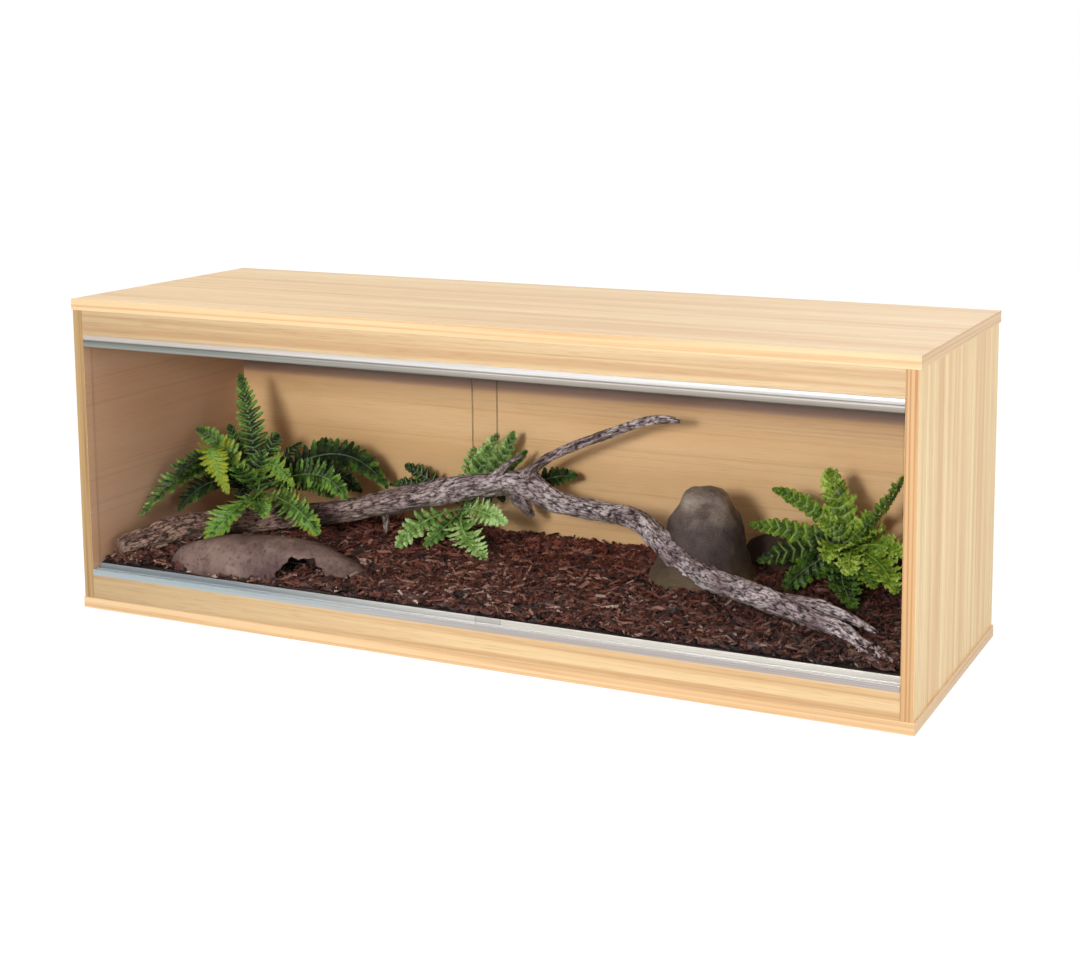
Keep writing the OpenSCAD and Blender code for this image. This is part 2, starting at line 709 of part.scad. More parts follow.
// Half an egg on its flat side, with a wavy skin
module hide_dome(a, b, h) {
    sides = 22;
    turns = [0, 16, 32, 48, 64, 82];
    skin([for (up = turns) [for (j = [0:sides - 1]) let (t = 360 * j / sides,
        r = pow(cos(up), 0.85) * (1 + 0.03 * sin(3 * t + 5 * up) + 0.02 * sin(5 * t - 4 * up)))
        [a * r * cos(t), b * r * sin(t), h * sin(up)]]]);
}

module cave_hide() color("#7a6660")
    translate([hide_at[0], hide_at[1], hide_z + bed_gap]) rotate(hide_turn) difference() {
        hide_dome(hide_a, hide_b, hide_h);
        translate([0, 0, -over])
            hide_dome(hide_a - hide_wall, hide_b - hide_wall, hide_h - hide_wall + over);
        translate([hide_mouth_at[0], hide_mouth_at[1], -over]) rotate([90, 0, 10])
            linear_extrude(2 * hide_b, center = true) polygon([for (a = [0:20:180])
                [hide_mouth_w / 2 * cos(a), over + hide_mouth_h * pow(sin(a), 0.7)],
                [-hide_mouth_w / 2, 0], [hide_mouth_w / 2, 0]]);
    }

// A stone from rings of height share, half width, half depth and shift to the back
module stone(at, height, rings, sides, rough) {
    translate([at[0], at[1], bark_z + bed_gap])
        skin([for (i = [0:len(rings) - 1]) let (ring = rings[i])
            [for (j = [0:sides - 1]) let (t = 360 * j / sides,
                r = 1 + rough * (sin(2 * t + 65 * i + 20) + 0.6 * sin(5 * t - 40 * i)))
                [ring[1] * r * cos(t), ring[2] * r * sin(t) + (len(ring) > 3 ? ring[3] : 0),
                ring[0] * height]]]);
}

module cone_rock() color("#6d6258") difference() {
    stone(rock_at, rock_h, rock_rings, 16, 0.03);
    limb(trunk_points, 3, 10, bed_gap);
}

module slate_ledge() color("#3f3536") stone(ledge_at, ledge_h, ledge_rings, 14, 0.03);

// Half width of a frond at t from root to tip: a bare stalk, a belly, a point
stalk = 0.12;
function frond_reach(t, width) = t < stalk ? 1 : let (s = (t - stalk) / (1 - stalk))
    max(0.6, width / 2 * pow(sin(180 * pow(min(s, 0.999), 0.72)), 0.55));

// One frond: a thin blade with toothed edges on a stalk that arches from start to tip
module frond(start, f, k) {
    crest = start + k * f[0];
    tip = start + k * f[1];
    across = [cos(f[3]) * cos(f[4]), sin(f[3]) * cos(f[4]), sin(f[4])];
    stations = 2 * leaflets + 2;
    skin([for (i = [0:stations]) let (
        t = i / stations,
        on = (1 - t) * (1 - t) * start + 2 * t * (1 - t) * crest + t * t * tip,
        along = unit((1 - t) * (crest - start) + t * (tip - crest)),
        side = unit(across - (across * along) * along),
        out = cross(side, along),
        tooth = i % 2 == 1 ? 1 : 0.34,
        w = i == stations ? 0.5 : frond_reach(t, k * f[2]) * (t < stalk ? 1 : tooth),
        lead = along * (i % 2 == 1 ? 0.16 * w : 0),
        sag = -0.12 * w * out,
        rib = out * (1.4 - 0.9 * t))
        [on + lead - w * side + sag, on + rib, on + lead + w * side + sag, on - rib]]);
}

// A root plug in the bark, a short neck of stalks up to the crown, and the fronds
module fern(root, crown_h, fronds, k) {
    crown = [root[0], root[1], bark_z + crown_h];
    for (f = fronds) frond(crown, f, k);
    translate([root[0], root[1], bark_z - root_depth])
        cylinder(d = root_d, h = root_depth, $fn = 12);
    translate([root[0], root[1], bark_z])
        cylinder(d1 = root_d, d2 = neck_d, h = crown_h + 3, $fn = 12);
}

module left_fern() color("#3f7a33") fern(left_root, left_crown_h, left_fronds, left_k);

module middle_fern() color("#4c8a38") fern(middle_root, middle_crown_h, middle_fronds,
    middle_k);

module right_fern() color("#6a9a3a") fern(right_root, right_crown_h, right_fronds, right_k);

base_panel();
top_panel();
left_side_panel();
right_side_panel();
back_panel();
top_fascia();
bottom_rail();
top_edge_band();
base_edge_band();
side_edge_bands();
upper_runner();
lower_runner();
left_glass_pane();
right_glass_pane();
cam_bolts();
cam_locks();
cam_caps();
wooden_dowels();
left_vent();
right_vent();
cable_grommet();
bark_substrate();
driftwood_branch();
cave_hide();
cone_rock();
slate_ledge();
left_fern();
middle_fern();
right_fern();
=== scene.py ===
"""Reptile terrarium in oak-print boards with two sliding glass panes, furnished with bark chips,
a driftwood branch, a cave hide, two stones and three ferns. Metres, in the part's own frame."""

import itertools
import math

import bmesh
import bpy
import numpy as np
from mathutils import Matrix, Vector


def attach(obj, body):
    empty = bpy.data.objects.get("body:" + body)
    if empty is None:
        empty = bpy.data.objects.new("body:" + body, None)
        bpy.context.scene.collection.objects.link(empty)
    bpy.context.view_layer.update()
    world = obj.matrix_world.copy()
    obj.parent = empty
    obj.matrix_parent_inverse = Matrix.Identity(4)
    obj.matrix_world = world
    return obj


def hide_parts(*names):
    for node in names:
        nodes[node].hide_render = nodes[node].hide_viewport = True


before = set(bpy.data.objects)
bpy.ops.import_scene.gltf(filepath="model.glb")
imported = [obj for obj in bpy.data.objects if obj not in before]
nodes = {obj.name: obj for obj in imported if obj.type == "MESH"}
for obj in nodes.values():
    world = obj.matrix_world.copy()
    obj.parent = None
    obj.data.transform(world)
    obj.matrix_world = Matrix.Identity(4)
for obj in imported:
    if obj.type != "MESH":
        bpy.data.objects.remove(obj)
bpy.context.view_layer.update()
scene = bpy.context.scene
scene.view_settings.view_transform = "Standard"

# The photograph's viewpoint: to the right of the case and a little above it, with a short
# telephoto lens. The case sits low and left in the frame, which the lens shift gives.
camera = bpy.data.objects.new("camera", bpy.data.cameras.new("camera"))
scene.collection.objects.link(camera)
scene.camera = camera
camera.data.sensor_fit = "HORIZONTAL"
camera.data.sensor_width = 36
camera.data.lens = 59.96
picture_width = 1080
camera.data.shift_x = -90 / picture_width
camera.data.shift_y = -184 / picture_width
camera.data.clip_end = 40
azimuth, elevation, roll = (math.radians(angle) for angle in (24.303, 7.788, -0.139))
forward = Vector((-math.sin(azimuth) * math.cos(elevation),
                  math.cos(azimuth) * math.cos(elevation), -math.sin(elevation)))
level = forward.cross(Vector((0, 0, 1))).normalized()
upright = level.cross(forward)
image_right = level * math.cos(roll) + upright * math.sin(roll)
image_up = upright * math.cos(roll) - level * math.sin(roll)
stand = Matrix((image_right, image_up, -forward)).transposed().to_4x4()
stand.translation = (1.06739, -2.02966, 0.73937)
camera.matrix_world = stand


def linear(code):
    """An sRGB colour such as #e6c38e as linear light, fully opaque."""
    shares = [int(code[i:i + 2], 16) / 255 for i in (1, 3, 5)]
    return [*(s / 12.92 if s <= 0.04045 else ((s + 0.055) / 1.055) ** 2.4 for s in shares), 1.0]


def add(tree, kind, inputs=None, stops=None, **settings):
    """Adds one shader node. settings are its properties, stops are its colour ramp as pairs of
    position and colour, and inputs gives each socket a value or the socket that feeds it."""
    node = tree.nodes.new(kind)
    for name, value in settings.items():
        setattr(node, name, value)
    if stops:
        ramp = node.color_ramp
        ramp.elements.remove(ramp.elements[1])
        for i, (position, colour) in enumerate(stops):
            element = ramp.elements[0] if i == 0 else ramp.elements.new(position)
            element.position = position
            element.color = linear(colour) if isinstance(colour, str) else [colour] * 3 + [1]
    for socket, value in (inputs or {}).items():
        if isinstance(value, bpy.types.NodeSocket):
            tree.links.new(value, node.inputs[socket])
        else:
            node.inputs[socket].default_value = linear(value) if isinstance(value, str) else value
    return node


# Soft studio light. A broad lamp in front and a little above throws the furnishing's shadows
# back and slightly down on the rear wall. One lamp lifts the top, one the right side.
def soft_lamp(name, place, aim, width, brightness):
    """A square lamp whose power gives a white matt face at its aim the brightness asked for:
    power is brightness times pi squared times the distance squared."""
    lamp = bpy.data.objects.new(name, bpy.data.lights.new(name, "AREA"))
    scene.collection.objects.link(lamp)
    way = Vector(aim) - Vector(place)
    lamp.data.size = width
    lamp.data.energy = brightness * math.pi ** 2 * way.length_squared
    lamp.location = place
    lamp.rotation_euler = way.to_track_quat("-Z", "Y").to_euler()


soft_lamp("front_lamp", (0.2, -2.6, 0.98), (0, 0, 0.2), 0.45, 0.60)
soft_lamp("top_lamp", (-1.3, -0.2, 2.9), (-0.4, 0, 0.4), 1.5, 0.45)
soft_lamp("side_lamp", (3.0, -0.7, 1.0), (0.5, 0, 0.2), 1.2, 0.34)

# The room: white where the camera, the glass and the metal look at it, and darker to the far
# left in reflections, so that the silver runners turn blue-grey towards their left ends.
def by_ray(tree, direct, mirrored, lighting):
    """Mixes three surfaces by the ray that meets them: direct for the camera and for rays through
    the glass, mirrored for rays off a shiny face, and lighting for all others."""
    ray = add(tree, "ShaderNodeLightPath").outputs
    straight = add(tree, "ShaderNodeMath", {0: ray["Is Camera Ray"],
                                            1: ray["Is Transmission Ray"]}, operation="MAXIMUM")
    other = add(tree, "ShaderNodeMixShader", {0: ray["Is Glossy Ray"], 1: lighting.outputs[0],
                                              2: mirrored.outputs[0]})
    return add(tree, "ShaderNodeMixShader", {0: straight.outputs[0], 1: other.outputs[0],
                                             2: direct.outputs[0]}).outputs[0]


room = bpy.data.worlds.new("white_room")
scene.world = room
room.use_nodes = True
tree = room.node_tree
tree.nodes.clear()
heading = add(tree, "ShaderNodeSeparateXYZ",
              {0: add(tree, "ShaderNodeTexCoord").outputs["Generated"]})
mirrored_room = add(tree, "ShaderNodeValToRGB", {0: add(
    tree, "ShaderNodeMath", {0: heading.outputs["X"], 1: 1.0}, operation="ADD").outputs[0]},
    stops=[(0.28, "#56646f"), (0.58, "#aab4ba"), (0.76, "#ffffff")])
ambient = add(tree, "ShaderNodeBackground", {"Color": "#ffffff", "Strength": 0.6})
reflected = add(tree, "ShaderNodeBackground", {"Color": mirrored_room.outputs[0], "Strength": 1.0})
white = add(tree, "ShaderNodeBackground", {"Color": "#ffffff", "Strength": 1.0})
add(tree, "ShaderNodeOutputWorld", {"Surface": by_ray(tree, white, reflected, ambient)})


# The pale floor keeps a faint shadow of the case and melts into the white room. In reflections
# it glows darker towards the far left, a painted reflection of a dimmer room there.
def empty_material(name):
    """A material without a node yet, and its node tree."""
    material = bpy.data.materials.new(name)
    material.use_nodes = True
    material.node_tree.nodes.clear()
    return material, material.node_tree


floor_mesh = bpy.data.meshes.new("pale_floor")
floor_reach = 20
floor_mesh.from_pydata([(x * floor_reach, y * floor_reach, 0)
                        for x, y in ((-1, -1), (1, -1), (1, 1), (-1, 1))], [], [(0, 1, 2, 3)])
floor = bpy.data.objects.new("pale_floor", floor_mesh)
scene.collection.objects.link(floor)
paper, tree = empty_material("white_paper_floor")
matt = add(tree, "ShaderNodeBsdfDiffuse", {"Color": "#e8e8e8"})
glow = add(tree, "ShaderNodeEmission", {"Color": "#ffffff", "Strength": 1.14})
faded = add(tree, "ShaderNodeMixShader", {0: 0.80, 1: matt.outputs[0], 2: glow.outputs[0]})
spot = add(tree, "ShaderNodeSeparateXYZ", {0: add(tree, "ShaderNodeTexCoord").outputs["Object"]})
leftwards = add(tree, "ShaderNodeMapRange", {0: spot.outputs["X"], 1: -2.4, 2: 0.0})
shade = add(tree, "ShaderNodeValToRGB", {0: leftwards.outputs[0]},
            stops=[(0.0, "#66747e"), (0.6, "#aebac1"), (0.95, "#ffffff")])
mirrored = add(tree, "ShaderNodeEmission", {"Color": shade.outputs[0], "Strength": 1.0})
add(tree, "ShaderNodeOutputMaterial", {"Surface": by_ray(tree, faded, mirrored, matt)})
floor_mesh.materials.append(paper)


# The case: 15 mm chipboard faced with oak-print melamine foil. The grain runs along the width
# on the top, base, back and front strips, upright on the right side and along the depth on the
# left one.
FAR_LEFT = -0.55
STRIP_SHADE = 0.264, 0.288  # heights between which the front strip shades the back panel


def oak_foil(name, along, pale, middle, warm, line, figure=0.35, band=15.0, inner=None,
             under_strip=None, left_end=None):
    """Foil printed with straight oak grain along one axis (0, 1 or 2): soft bands about band mm
    wide, streaks of 2.5 mm, short pores of 1.2 mm and a few long thin lines, each a noise
    stretched along the grain. inner is a painted shade, the foil's colour share on faces that
    look inwards; under_strip is a painted shadow, the same up the front face through
    STRIP_SHADE, where the strip in front keeps the light off it; and left_end is a painted
    shade, the same at the far left, which the light reaches least."""
    material, tree = empty_material(name)
    place = add(tree, "ShaderNodeTexCoord").outputs["Object"]
    spot = add(tree, "ShaderNodeSeparateXYZ", {0: place}).outputs
    facing = add(tree, "ShaderNodeSeparateXYZ",
                 {0: add(tree, "ShaderNodeNewGeometry").outputs["Normal"]}).outputs

    def grain(length_mm, width_mm, detail, shift):
        scale = [1000 / width_mm] * 3
        scale[along] = 1000 / length_mm
        at = add(tree, "ShaderNodeMapping", {"Vector": place, "Scale": scale,
                                             "Location": (shift, 2 * shift, 3 * shift)})
        return add(tree, "ShaderNodeTexNoise", {"Vector": at.outputs[0], "Scale": 1.0,
                                                "Detail": detail, "Distortion": 0.25}).outputs[0]

    bands = add(tree, "ShaderNodeValToRGB", {0: grain(850, band, 3, 3.1)},
                stops=[(0.34, pale), (0.50, middle), (0.66, warm)])
    streaks = add(tree, "ShaderNodeValToRGB", {0: grain(330, 2.5, 3, 7.7)},
                  stops=[(0.42, 0.0), (0.72, figure)])
    streaked = add(tree, "ShaderNodeMix", {0: streaks.outputs[0], 6: bands.outputs[0], 7: warm},
                   data_type="RGBA")
    pores = add(tree, "ShaderNodeValToRGB", {0: grain(38, 1.2, 1, 1.9)},
                stops=[(0.56, 0.0), (0.70, 0.30)])
    pored = add(tree, "ShaderNodeMix", {0: pores.outputs[0], 6: streaked.outputs[2], 7: line},
                data_type="RGBA")
    lines = add(tree, "ShaderNodeValToRGB", {0: grain(1300, 4.5, 0, 11.3)},
                stops=[(0.66, 0.0), (0.72, 0.42), (0.78, 0.0)])
    colour = add(tree, "ShaderNodeMix", {0: lines.outputs[0], 6: pored.outputs[2], 7: line},
                 data_type="RGBA")
    shares = []
    if inner:
        inwards = add(tree, "ShaderNodeMath", {0: facing[inner[0]], 1: inner[1]},
                      operation="MULTIPLY", use_clamp=True)
        shares.append((inwards, inner[2]))
    if under_strip:
        frontal = add(tree, "ShaderNodeMath", {0: facing["Y"], 1: -1.0}, operation="MULTIPLY",
                      use_clamp=True)
        rise = add(tree, "ShaderNodeMapRange", {0: spot["Z"], 1: STRIP_SHADE[0],
                                                2: STRIP_SHADE[1]})
        shares.append((frontal, add(tree, "ShaderNodeValToRGB", {0: rise.outputs[0]},
                                    stops=under_strip).outputs[0]))
    if left_end:
        leftwards = add(tree, "ShaderNodeMapRange", {0: spot["X"], 1: 0.0, 2: FAR_LEFT})
        shares.append((leftwards, left_end))
    for share, tone in shares:
        colour = add(tree, "ShaderNodeMix", {0: share.outputs[0], 6: colour.outputs[2], 7: tone},
                     data_type="RGBA", blend_type="MULTIPLY")
    bump = add(tree, "ShaderNodeBump", {"Height": pores.outputs[0], "Strength": 0.25,
                                        "Distance": 0.0002})
    rough = add(tree, "ShaderNodeMapRange", {0: streaks.outputs[0], 3: 0.40, 4: 0.52})
    foil = add(tree, "ShaderNodeBsdfPrincipled", {"Base Color": colour.outputs[2],
                                                  "Roughness": rough.outputs[0],
                                                  "Normal": bump.outputs[0]})
    add(tree, "ShaderNodeOutputMaterial", {"Surface": foil.outputs[0]})
    return material


def dress(material, *names):
    """Gives the part's own pieces a material."""
    for name in names:
        nodes[name].material_slots[0].material = material


dress(oak_foil("oak_foil_top_and_base", 0, "#f9deb4", "#f4d5a9", "#ebc69b", "#cd986d", 0.25, 22.0),
      "top_panel", "base_panel")
# The strips' left_end shares are painted shade towards their left ends.
dress(oak_foil("oak_foil_upper_strip", 0, "#cfb68e", "#c8ab83", "#bb986f", "#a1784f", 0.30, 10.0,
               left_end="#efeeec"), "top_fascia")
dress(oak_foil("oak_foil_lower_strip", 0, "#d9bd90", "#d2b285", "#c49e71", "#a87c50", 0.30, 10.0,
               left_end="#dcdbd9"), "bottom_rail")
# The inner shares darken and tint each side panel's inside faces: painted shade.
dress(oak_foil("oak_foil_right_side", 2, "#f2daa6", "#e8ca93", "#dbb27c", "#b4804f", 0.45, 24.0,
               inner=("X", -1.0, "#d8bda0")), "right_side_panel")
dress(oak_foil("oak_foil_left_side", 1, "#eed4a9", "#ecce9f", "#e9c798", "#d9ae80", 0.15, 40.0,
               inner=("X", 1.0, "#cdbcc4")), "left_side_panel")
# The back's under_strip ramp is a painted shadow of the upper strip, mauve and darkest at the top.
dress(oak_foil("oak_foil_back", 0, "#ebc592", "#e8bf8b", "#e3b984", "#cd9a66", 0.18, 34.0,
               under_strip=[(0.0, "#ffffff"), (0.16, "#fafaff"), (0.33, "#d4ceea"),
                            (0.50, "#b0accd"), (0.67, "#9e9ec0"), (0.83, "#8187a6"),
                            (1.0, "#747c9c")]), "back_panel")


# Edging: 0.5 mm tape, ironed on the front edges and on the ends of the top and base. It is
# printed with fine parallel lines that run along the edge.
def edging_tape(name, along, pale, warm, line, depth, left_end="#ffffff"):
    """Tape with thin darker lines about 4 mm apart along one axis, and, where its face looks to
    the left or right, along the depth of the case instead. depth is how dark the lines are, and
    left_end is a painted shade, the share of colour left at the far left, which the light
    reaches least."""
    material, tree = empty_material(name)
    place = add(tree, "ShaderNodeTexCoord").outputs["Object"]
    facing = add(tree, "ShaderNodeSeparateXYZ",
                 {0: add(tree, "ShaderNodeNewGeometry").outputs["Normal"]})
    end = add(tree, "ShaderNodeMath", {0: facing.outputs["X"]}, operation="ABSOLUTE")
    ways = []
    for axis in (along, 1):
        scale = [230.0] * 3
        scale[axis] = 1.2
        ways.append(add(tree, "ShaderNodeMapping", {"Vector": place, "Scale": scale}).outputs[0])
    run = add(tree, "ShaderNodeMix", {0: end.outputs[0], 4: ways[0], 5: ways[1]},
              data_type="VECTOR")
    lines = add(tree, "ShaderNodeTexNoise", {"Vector": run.outputs[1], "Scale": 1.0,
                                             "Detail": 1.0})
    bands = add(tree, "ShaderNodeValToRGB", {0: lines.outputs[0]},
                stops=[(0.40, pale), (0.60, warm)])
    marks = add(tree, "ShaderNodeValToRGB", {0: lines.outputs[0]},
                stops=[(0.52, 0.0), (0.60, depth), (0.68, 0.0)])
    colour = add(tree, "ShaderNodeMix", {0: marks.outputs[0], 6: bands.outputs[0], 7: line},
                 data_type="RGBA")
    spot = add(tree, "ShaderNodeSeparateXYZ", {0: place}).outputs
    leftwards = add(tree, "ShaderNodeMapRange", {0: spot["X"], 1: 0.2, 2: FAR_LEFT})
    toned = add(tree, "ShaderNodeMix", {0: leftwards.outputs[0], 6: colour.outputs[2],
                                        7: left_end}, data_type="RGBA", blend_type="MULTIPLY")
    tape = add(tree, "ShaderNodeBsdfPrincipled", {"Base Color": toned.outputs[2],
                                                  "Roughness": 0.42})
    add(tree, "ShaderNodeOutputMaterial", {"Surface": tape.outputs[0]})
    return material


dress(edging_tape("oak_tape_top_and_base", 0, "#dfbe92", "#d8b284", "#a87a4d", 0.30),
      "top_edge_band", "base_edge_band")
# The side tapes' left_end share is painted shade at the far left.
dress(edging_tape("oak_tape_sides", 2, "#cba170", "#c19462", "#8f633b", 0.50,
                  "#e0e8e6"), "side_edge_bands")


# Flat-pack fittings: zinc cam bolts and locks, beech dowels, and moulded caps that hide the
# locks. They sit in the boards; only the caps' faces show, inside and behind the strips.
def plain_finish(name, colour, other, grit_mm, roughness, metallic=0.0, relief=0.00005):
    """A finish of two close colours mixed by a noise of grit_mm, with the same noise as relief."""
    material, tree = empty_material(name)
    place = add(tree, "ShaderNodeTexCoord").outputs["Object"]
    grit = add(tree, "ShaderNodeTexNoise", {"Vector": place, "Scale": 1000 / grit_mm,
                                            "Detail": 3.0})
    colour = add(tree, "ShaderNodeValToRGB", {0: grit.outputs[0]},
                 stops=[(0.35, colour), (0.65, other)])
    bump = add(tree, "ShaderNodeBump", {"Height": grit.outputs[0], "Strength": 0.5,
                                        "Distance": relief})
    surface = add(tree, "ShaderNodeBsdfPrincipled", {
        "Base Color": colour.outputs[0], "Roughness": roughness, "Metallic": metallic,
        "Normal": bump.outputs[0]})
    add(tree, "ShaderNodeOutputMaterial", {"Surface": surface.outputs[0]})
    return material


dress(plain_finish("zinc_plated_steel", "#8f9296", "#a9abad", 2.0, 0.38, 1.0), "cam_bolts",
      "cam_locks")
dress(plain_finish("beech_dowel", "#c99d66", "#dab27c", 1.5, 0.7), "wooden_dowels")
dress(plain_finish("moulded_cap_plastic", "#d9b27c", "#dfba86", 1.5, 0.5), "cam_caps")

# Vents and cable grommet: black ABS, moulded with a fine spark-eroded texture, pushed through
# the back panel from inside until their nibs snap behind it.
dress(plain_finish("black_moulded_abs", "#1b1b1c", "#262627", 1.2, 0.55), "left_vent",
      "right_vent", "cable_grommet")

# Runners: extruded profiles in satin silver, pressed by barbed fins into saw kerfs in the front
# strips. Drawing lines from the die run along them. Their tones are painted highlights,
# reflections and shade across each profile, and change from the middle of the case to its
# left and right.
TONE_MIDDLE, TONE_LEFT, TONE_RIGHT = 0.05, -0.35, 0.45
FRONT = -0.1875


def satin_extrusion(name, axis, start, end, right, left, metallic, right_end="#ffffff"):
    """Anodised aluminium with die lines of 1 mm along it. right and left are the tones from start
    to end along one axis, at the two ends of the extrusion: painted highlights, reflections and
    shade, as each of its faces looks at a brighter or darker part of the room; between the ends
    they blend. right_end is a painted shade, the share of the right tones left at the far right."""
    material, tree = empty_material(name)
    place = add(tree, "ShaderNodeTexCoord").outputs["Object"]
    along_die = add(tree, "ShaderNodeMapping", {"Vector": place, "Scale": (4.0, 900.0, 900.0)})
    die_lines = add(tree, "ShaderNodeTexNoise", {"Vector": along_die.outputs[0], "Scale": 1.0,
                                                 "Detail": 2.0})
    roughness = add(tree, "ShaderNodeMapRange", {0: die_lines.outputs[0], 3: 0.24, 4: 0.40})
    streaks = add(tree, "ShaderNodeValToRGB", {0: die_lines.outputs[0]},
                  stops=[(0.3, "#e6e6e6"), (0.7, "#ffffff")])
    where = add(tree, "ShaderNodeSeparateXYZ", {0: place}).outputs
    share = add(tree, "ShaderNodeMapRange", {0: where[axis], 1: start, 2: end})
    leftwards = add(tree, "ShaderNodeMapRange", {0: where["X"], 1: TONE_MIDDLE,
                                                 2: TONE_LEFT})
    tones = [add(tree, "ShaderNodeValToRGB", {0: share.outputs[0]}, stops=stops)
             for stops in (right, left)]
    tone = add(tree, "ShaderNodeMix", {0: leftwards.outputs[0], 6: tones[0].outputs[0],
                                       7: tones[1].outputs[0]}, data_type="RGBA")
    rightwards = add(tree, "ShaderNodeMapRange", {0: where["X"], 1: TONE_MIDDLE,
                                                  2: TONE_RIGHT})
    toned = add(tree, "ShaderNodeMix", {0: rightwards.outputs[0], 6: tone.outputs[2],
                                        7: right_end}, data_type="RGBA", blend_type="MULTIPLY")
    colour = add(tree, "ShaderNodeMix", {0: 1.0, 6: toned.outputs[2], 7: streaks.outputs[0]},
                 data_type="RGBA", blend_type="MULTIPLY")
    bump = add(tree, "ShaderNodeBump", {"Height": die_lines.outputs[0], "Strength": 0.25,
                                        "Distance": 0.00005})
    metal = add(tree, "ShaderNodeBsdfPrincipled", {
        "Base Color": colour.outputs[2], "Metallic": metallic, "Roughness": roughness.outputs[0],
        "Normal": bump.outputs[0]})
    add(tree, "ShaderNodeOutputMaterial", {"Surface": metal.outputs[0]})
    return material


# Upper runner: a painted highlight along the bead, a painted dark line at its groove and painted
# shade towards its foot.
dress(satin_extrusion("satin_aluminium_upper", "Z", 0.3575, 0.3740, [
    (0.0, "#6c635c"), (0.07, "#988e81"), (0.16, "#aca295"), (0.34, "#c0b7ac"), (0.40, "#e8dfd8"),
    (0.45, "#d3cac3"), (0.50, "#aaa29d"), (0.54, "#b7afa9"), (0.62, "#f1ede9"),
    (1.0, "#f6f1ee")], [
    (0.0, "#6e6a64"), (0.06, "#a3a298"), (0.16, "#adada3"), (0.26, "#a2a39a"), (0.45, "#989a94"),
    (0.52, "#8d8c88"), (0.60, "#c4bcb5"), (0.70, "#ecddd0"), (1.0, "#ecddd0")], 0.5,
    "#e1e1e1"), "upper_runner")
# Lower runner: a painted highlight along the front lip and painted shade on the front face,
# blue-grey towards the left.
dress(satin_extrusion("satin_aluminium_lower", "Y", FRONT, -0.1707, [
    (0.0, "#afa6a2"), (0.02, "#bab1ad"), (0.07, "#ffffff"), (0.13, "#fbf9f6"), (0.22, "#c4c4c1"),
    (0.30, "#deddd8"), (0.40, "#fbfaf6"), (0.60, "#fbfaf6"), (0.72, "#dcd8d0"),
    (0.82, "#e4e0d8"), (0.92, "#ece8e0"), (1.0, "#dcd6cc")], [
    (0.0, "#abb7b9"), (0.02, "#abb7b9"), (0.07, "#c4d0d6"), (0.22, "#a6b1b8"), (0.40, "#b4bfc8"),
    (0.60, "#b4bfc8"), (0.80, "#a2abb0"), (1.0, "#a0a7a9")], 0.25), "lower_runner")

# Panes: 4 mm float glass with ground edges. The faces are almost clear; the edges carry a
# painted reflection of the brown of the case and show as two fine upright lines where the panes
# overlap. This painted reflection hardly shows at the far ends, where they lie against the side
# panels, and lower down, where the edges would gather the dark of the bark and the plants.
float_glass, tree = empty_material("float_glass_ground_edges")
facing = add(tree, "ShaderNodeSeparateXYZ",
             {0: add(tree, "ShaderNodeNewGeometry").outputs["Normal"]})
edge = add(tree, "ShaderNodeMath", {0: facing.outputs["X"]}, operation="ABSOLUTE")
ground = add(tree, "ShaderNodeMapRange", {0: edge.outputs[0], 1: 0.3, 2: 0.6})
place = add(tree, "ShaderNodeTexCoord").outputs["Object"]
fine = add(tree, "ShaderNodeTexNoise", {"Vector": place, "Scale": 700.0, "Detail": 2.0})
# The edges' brown is a painted reflection of the case.
painted_case_reflection = add(tree, "ShaderNodeValToRGB", {0: fine.outputs[0]},
           stops=[(0.3, "#4e3218"), (0.7, "#644622")])
colour = add(tree, "ShaderNodeMix", {0: ground.outputs[0], 6: "#141a18", 7: painted_case_reflection.outputs[0]},
             data_type="RGBA")
face_shows, edge_shows, edge_hides = 0.014, 0.54, 0.12
spot = add(tree, "ShaderNodeSeparateXYZ", {0: place}).outputs
across = add(tree, "ShaderNodeMath", {0: spot["X"]}, operation="ABSOLUTE")
middle_edge = add(tree, "ShaderNodeMapRange", {0: across.outputs[0], 1: 0.3, 2: 0.5,
                                               3: edge_shows, 4: edge_hides})
high_edge = add(tree, "ShaderNodeMapRange", {0: spot["Z"], 1: 0.245, 2: 0.290,
                                             3: edge_hides, 4: middle_edge.outputs[0]})
opacity = add(tree, "ShaderNodeMapRange", {0: ground.outputs[0], 3: face_shows,
                                           4: high_edge.outputs[0]})
roughness = add(tree, "ShaderNodeMapRange", {0: ground.outputs[0], 3: 0.02, 4: 0.4})
pane = add(tree, "ShaderNodeBsdfPrincipled", {
    "Base Color": colour.outputs[2], "Alpha": opacity.outputs[0],
    "Roughness": roughness.outputs[0], "IOR": 1.52})
add(tree, "ShaderNodeOutputMaterial", {"Surface": pane.outputs[0]})
float_glass.surface_render_method = "BLENDED"
dress(float_glass, "left_glass_pane", "right_glass_pane")


# Bark: damp chipped bark 55 mm deep over the base. The bed is the part's own solid in dark
# crumbs; loose chips lie on it in layers, dark at the bottom, redder and paler on top.
def noise3(points, grain, seed):
    """Smooth noise from -1 to 1: random values on a cubic lattice of spacing grain, blended
    between the eight corners round each point with a cubic ease."""
    q = points / grain
    cell = np.floor(q).astype(np.int64)
    t = q - cell
    t = t * t * (3 - 2 * t)
    total = np.zeros(points.shape[:-1])
    for corner in itertools.product((0, 1), repeat=3):
        c = cell + np.array(corner)
        h = (c[..., 0] * 73856093) ^ (c[..., 1] * 19349663) ^ (c[..., 2] * 83492791)
        h = ((h ^ (seed * 668265263)) * 1274126177) & 0x7FFFFFFF
        h = ((h ^ (h >> 15)) * 2246822519) & 0x7FFFFFFF
        share = np.prod(np.where(np.array(corner) == 1, t, 1 - t), axis=-1)
        total += share * (((h >> 8) & 0xFFFF) / 32767.5 - 1)
    return total


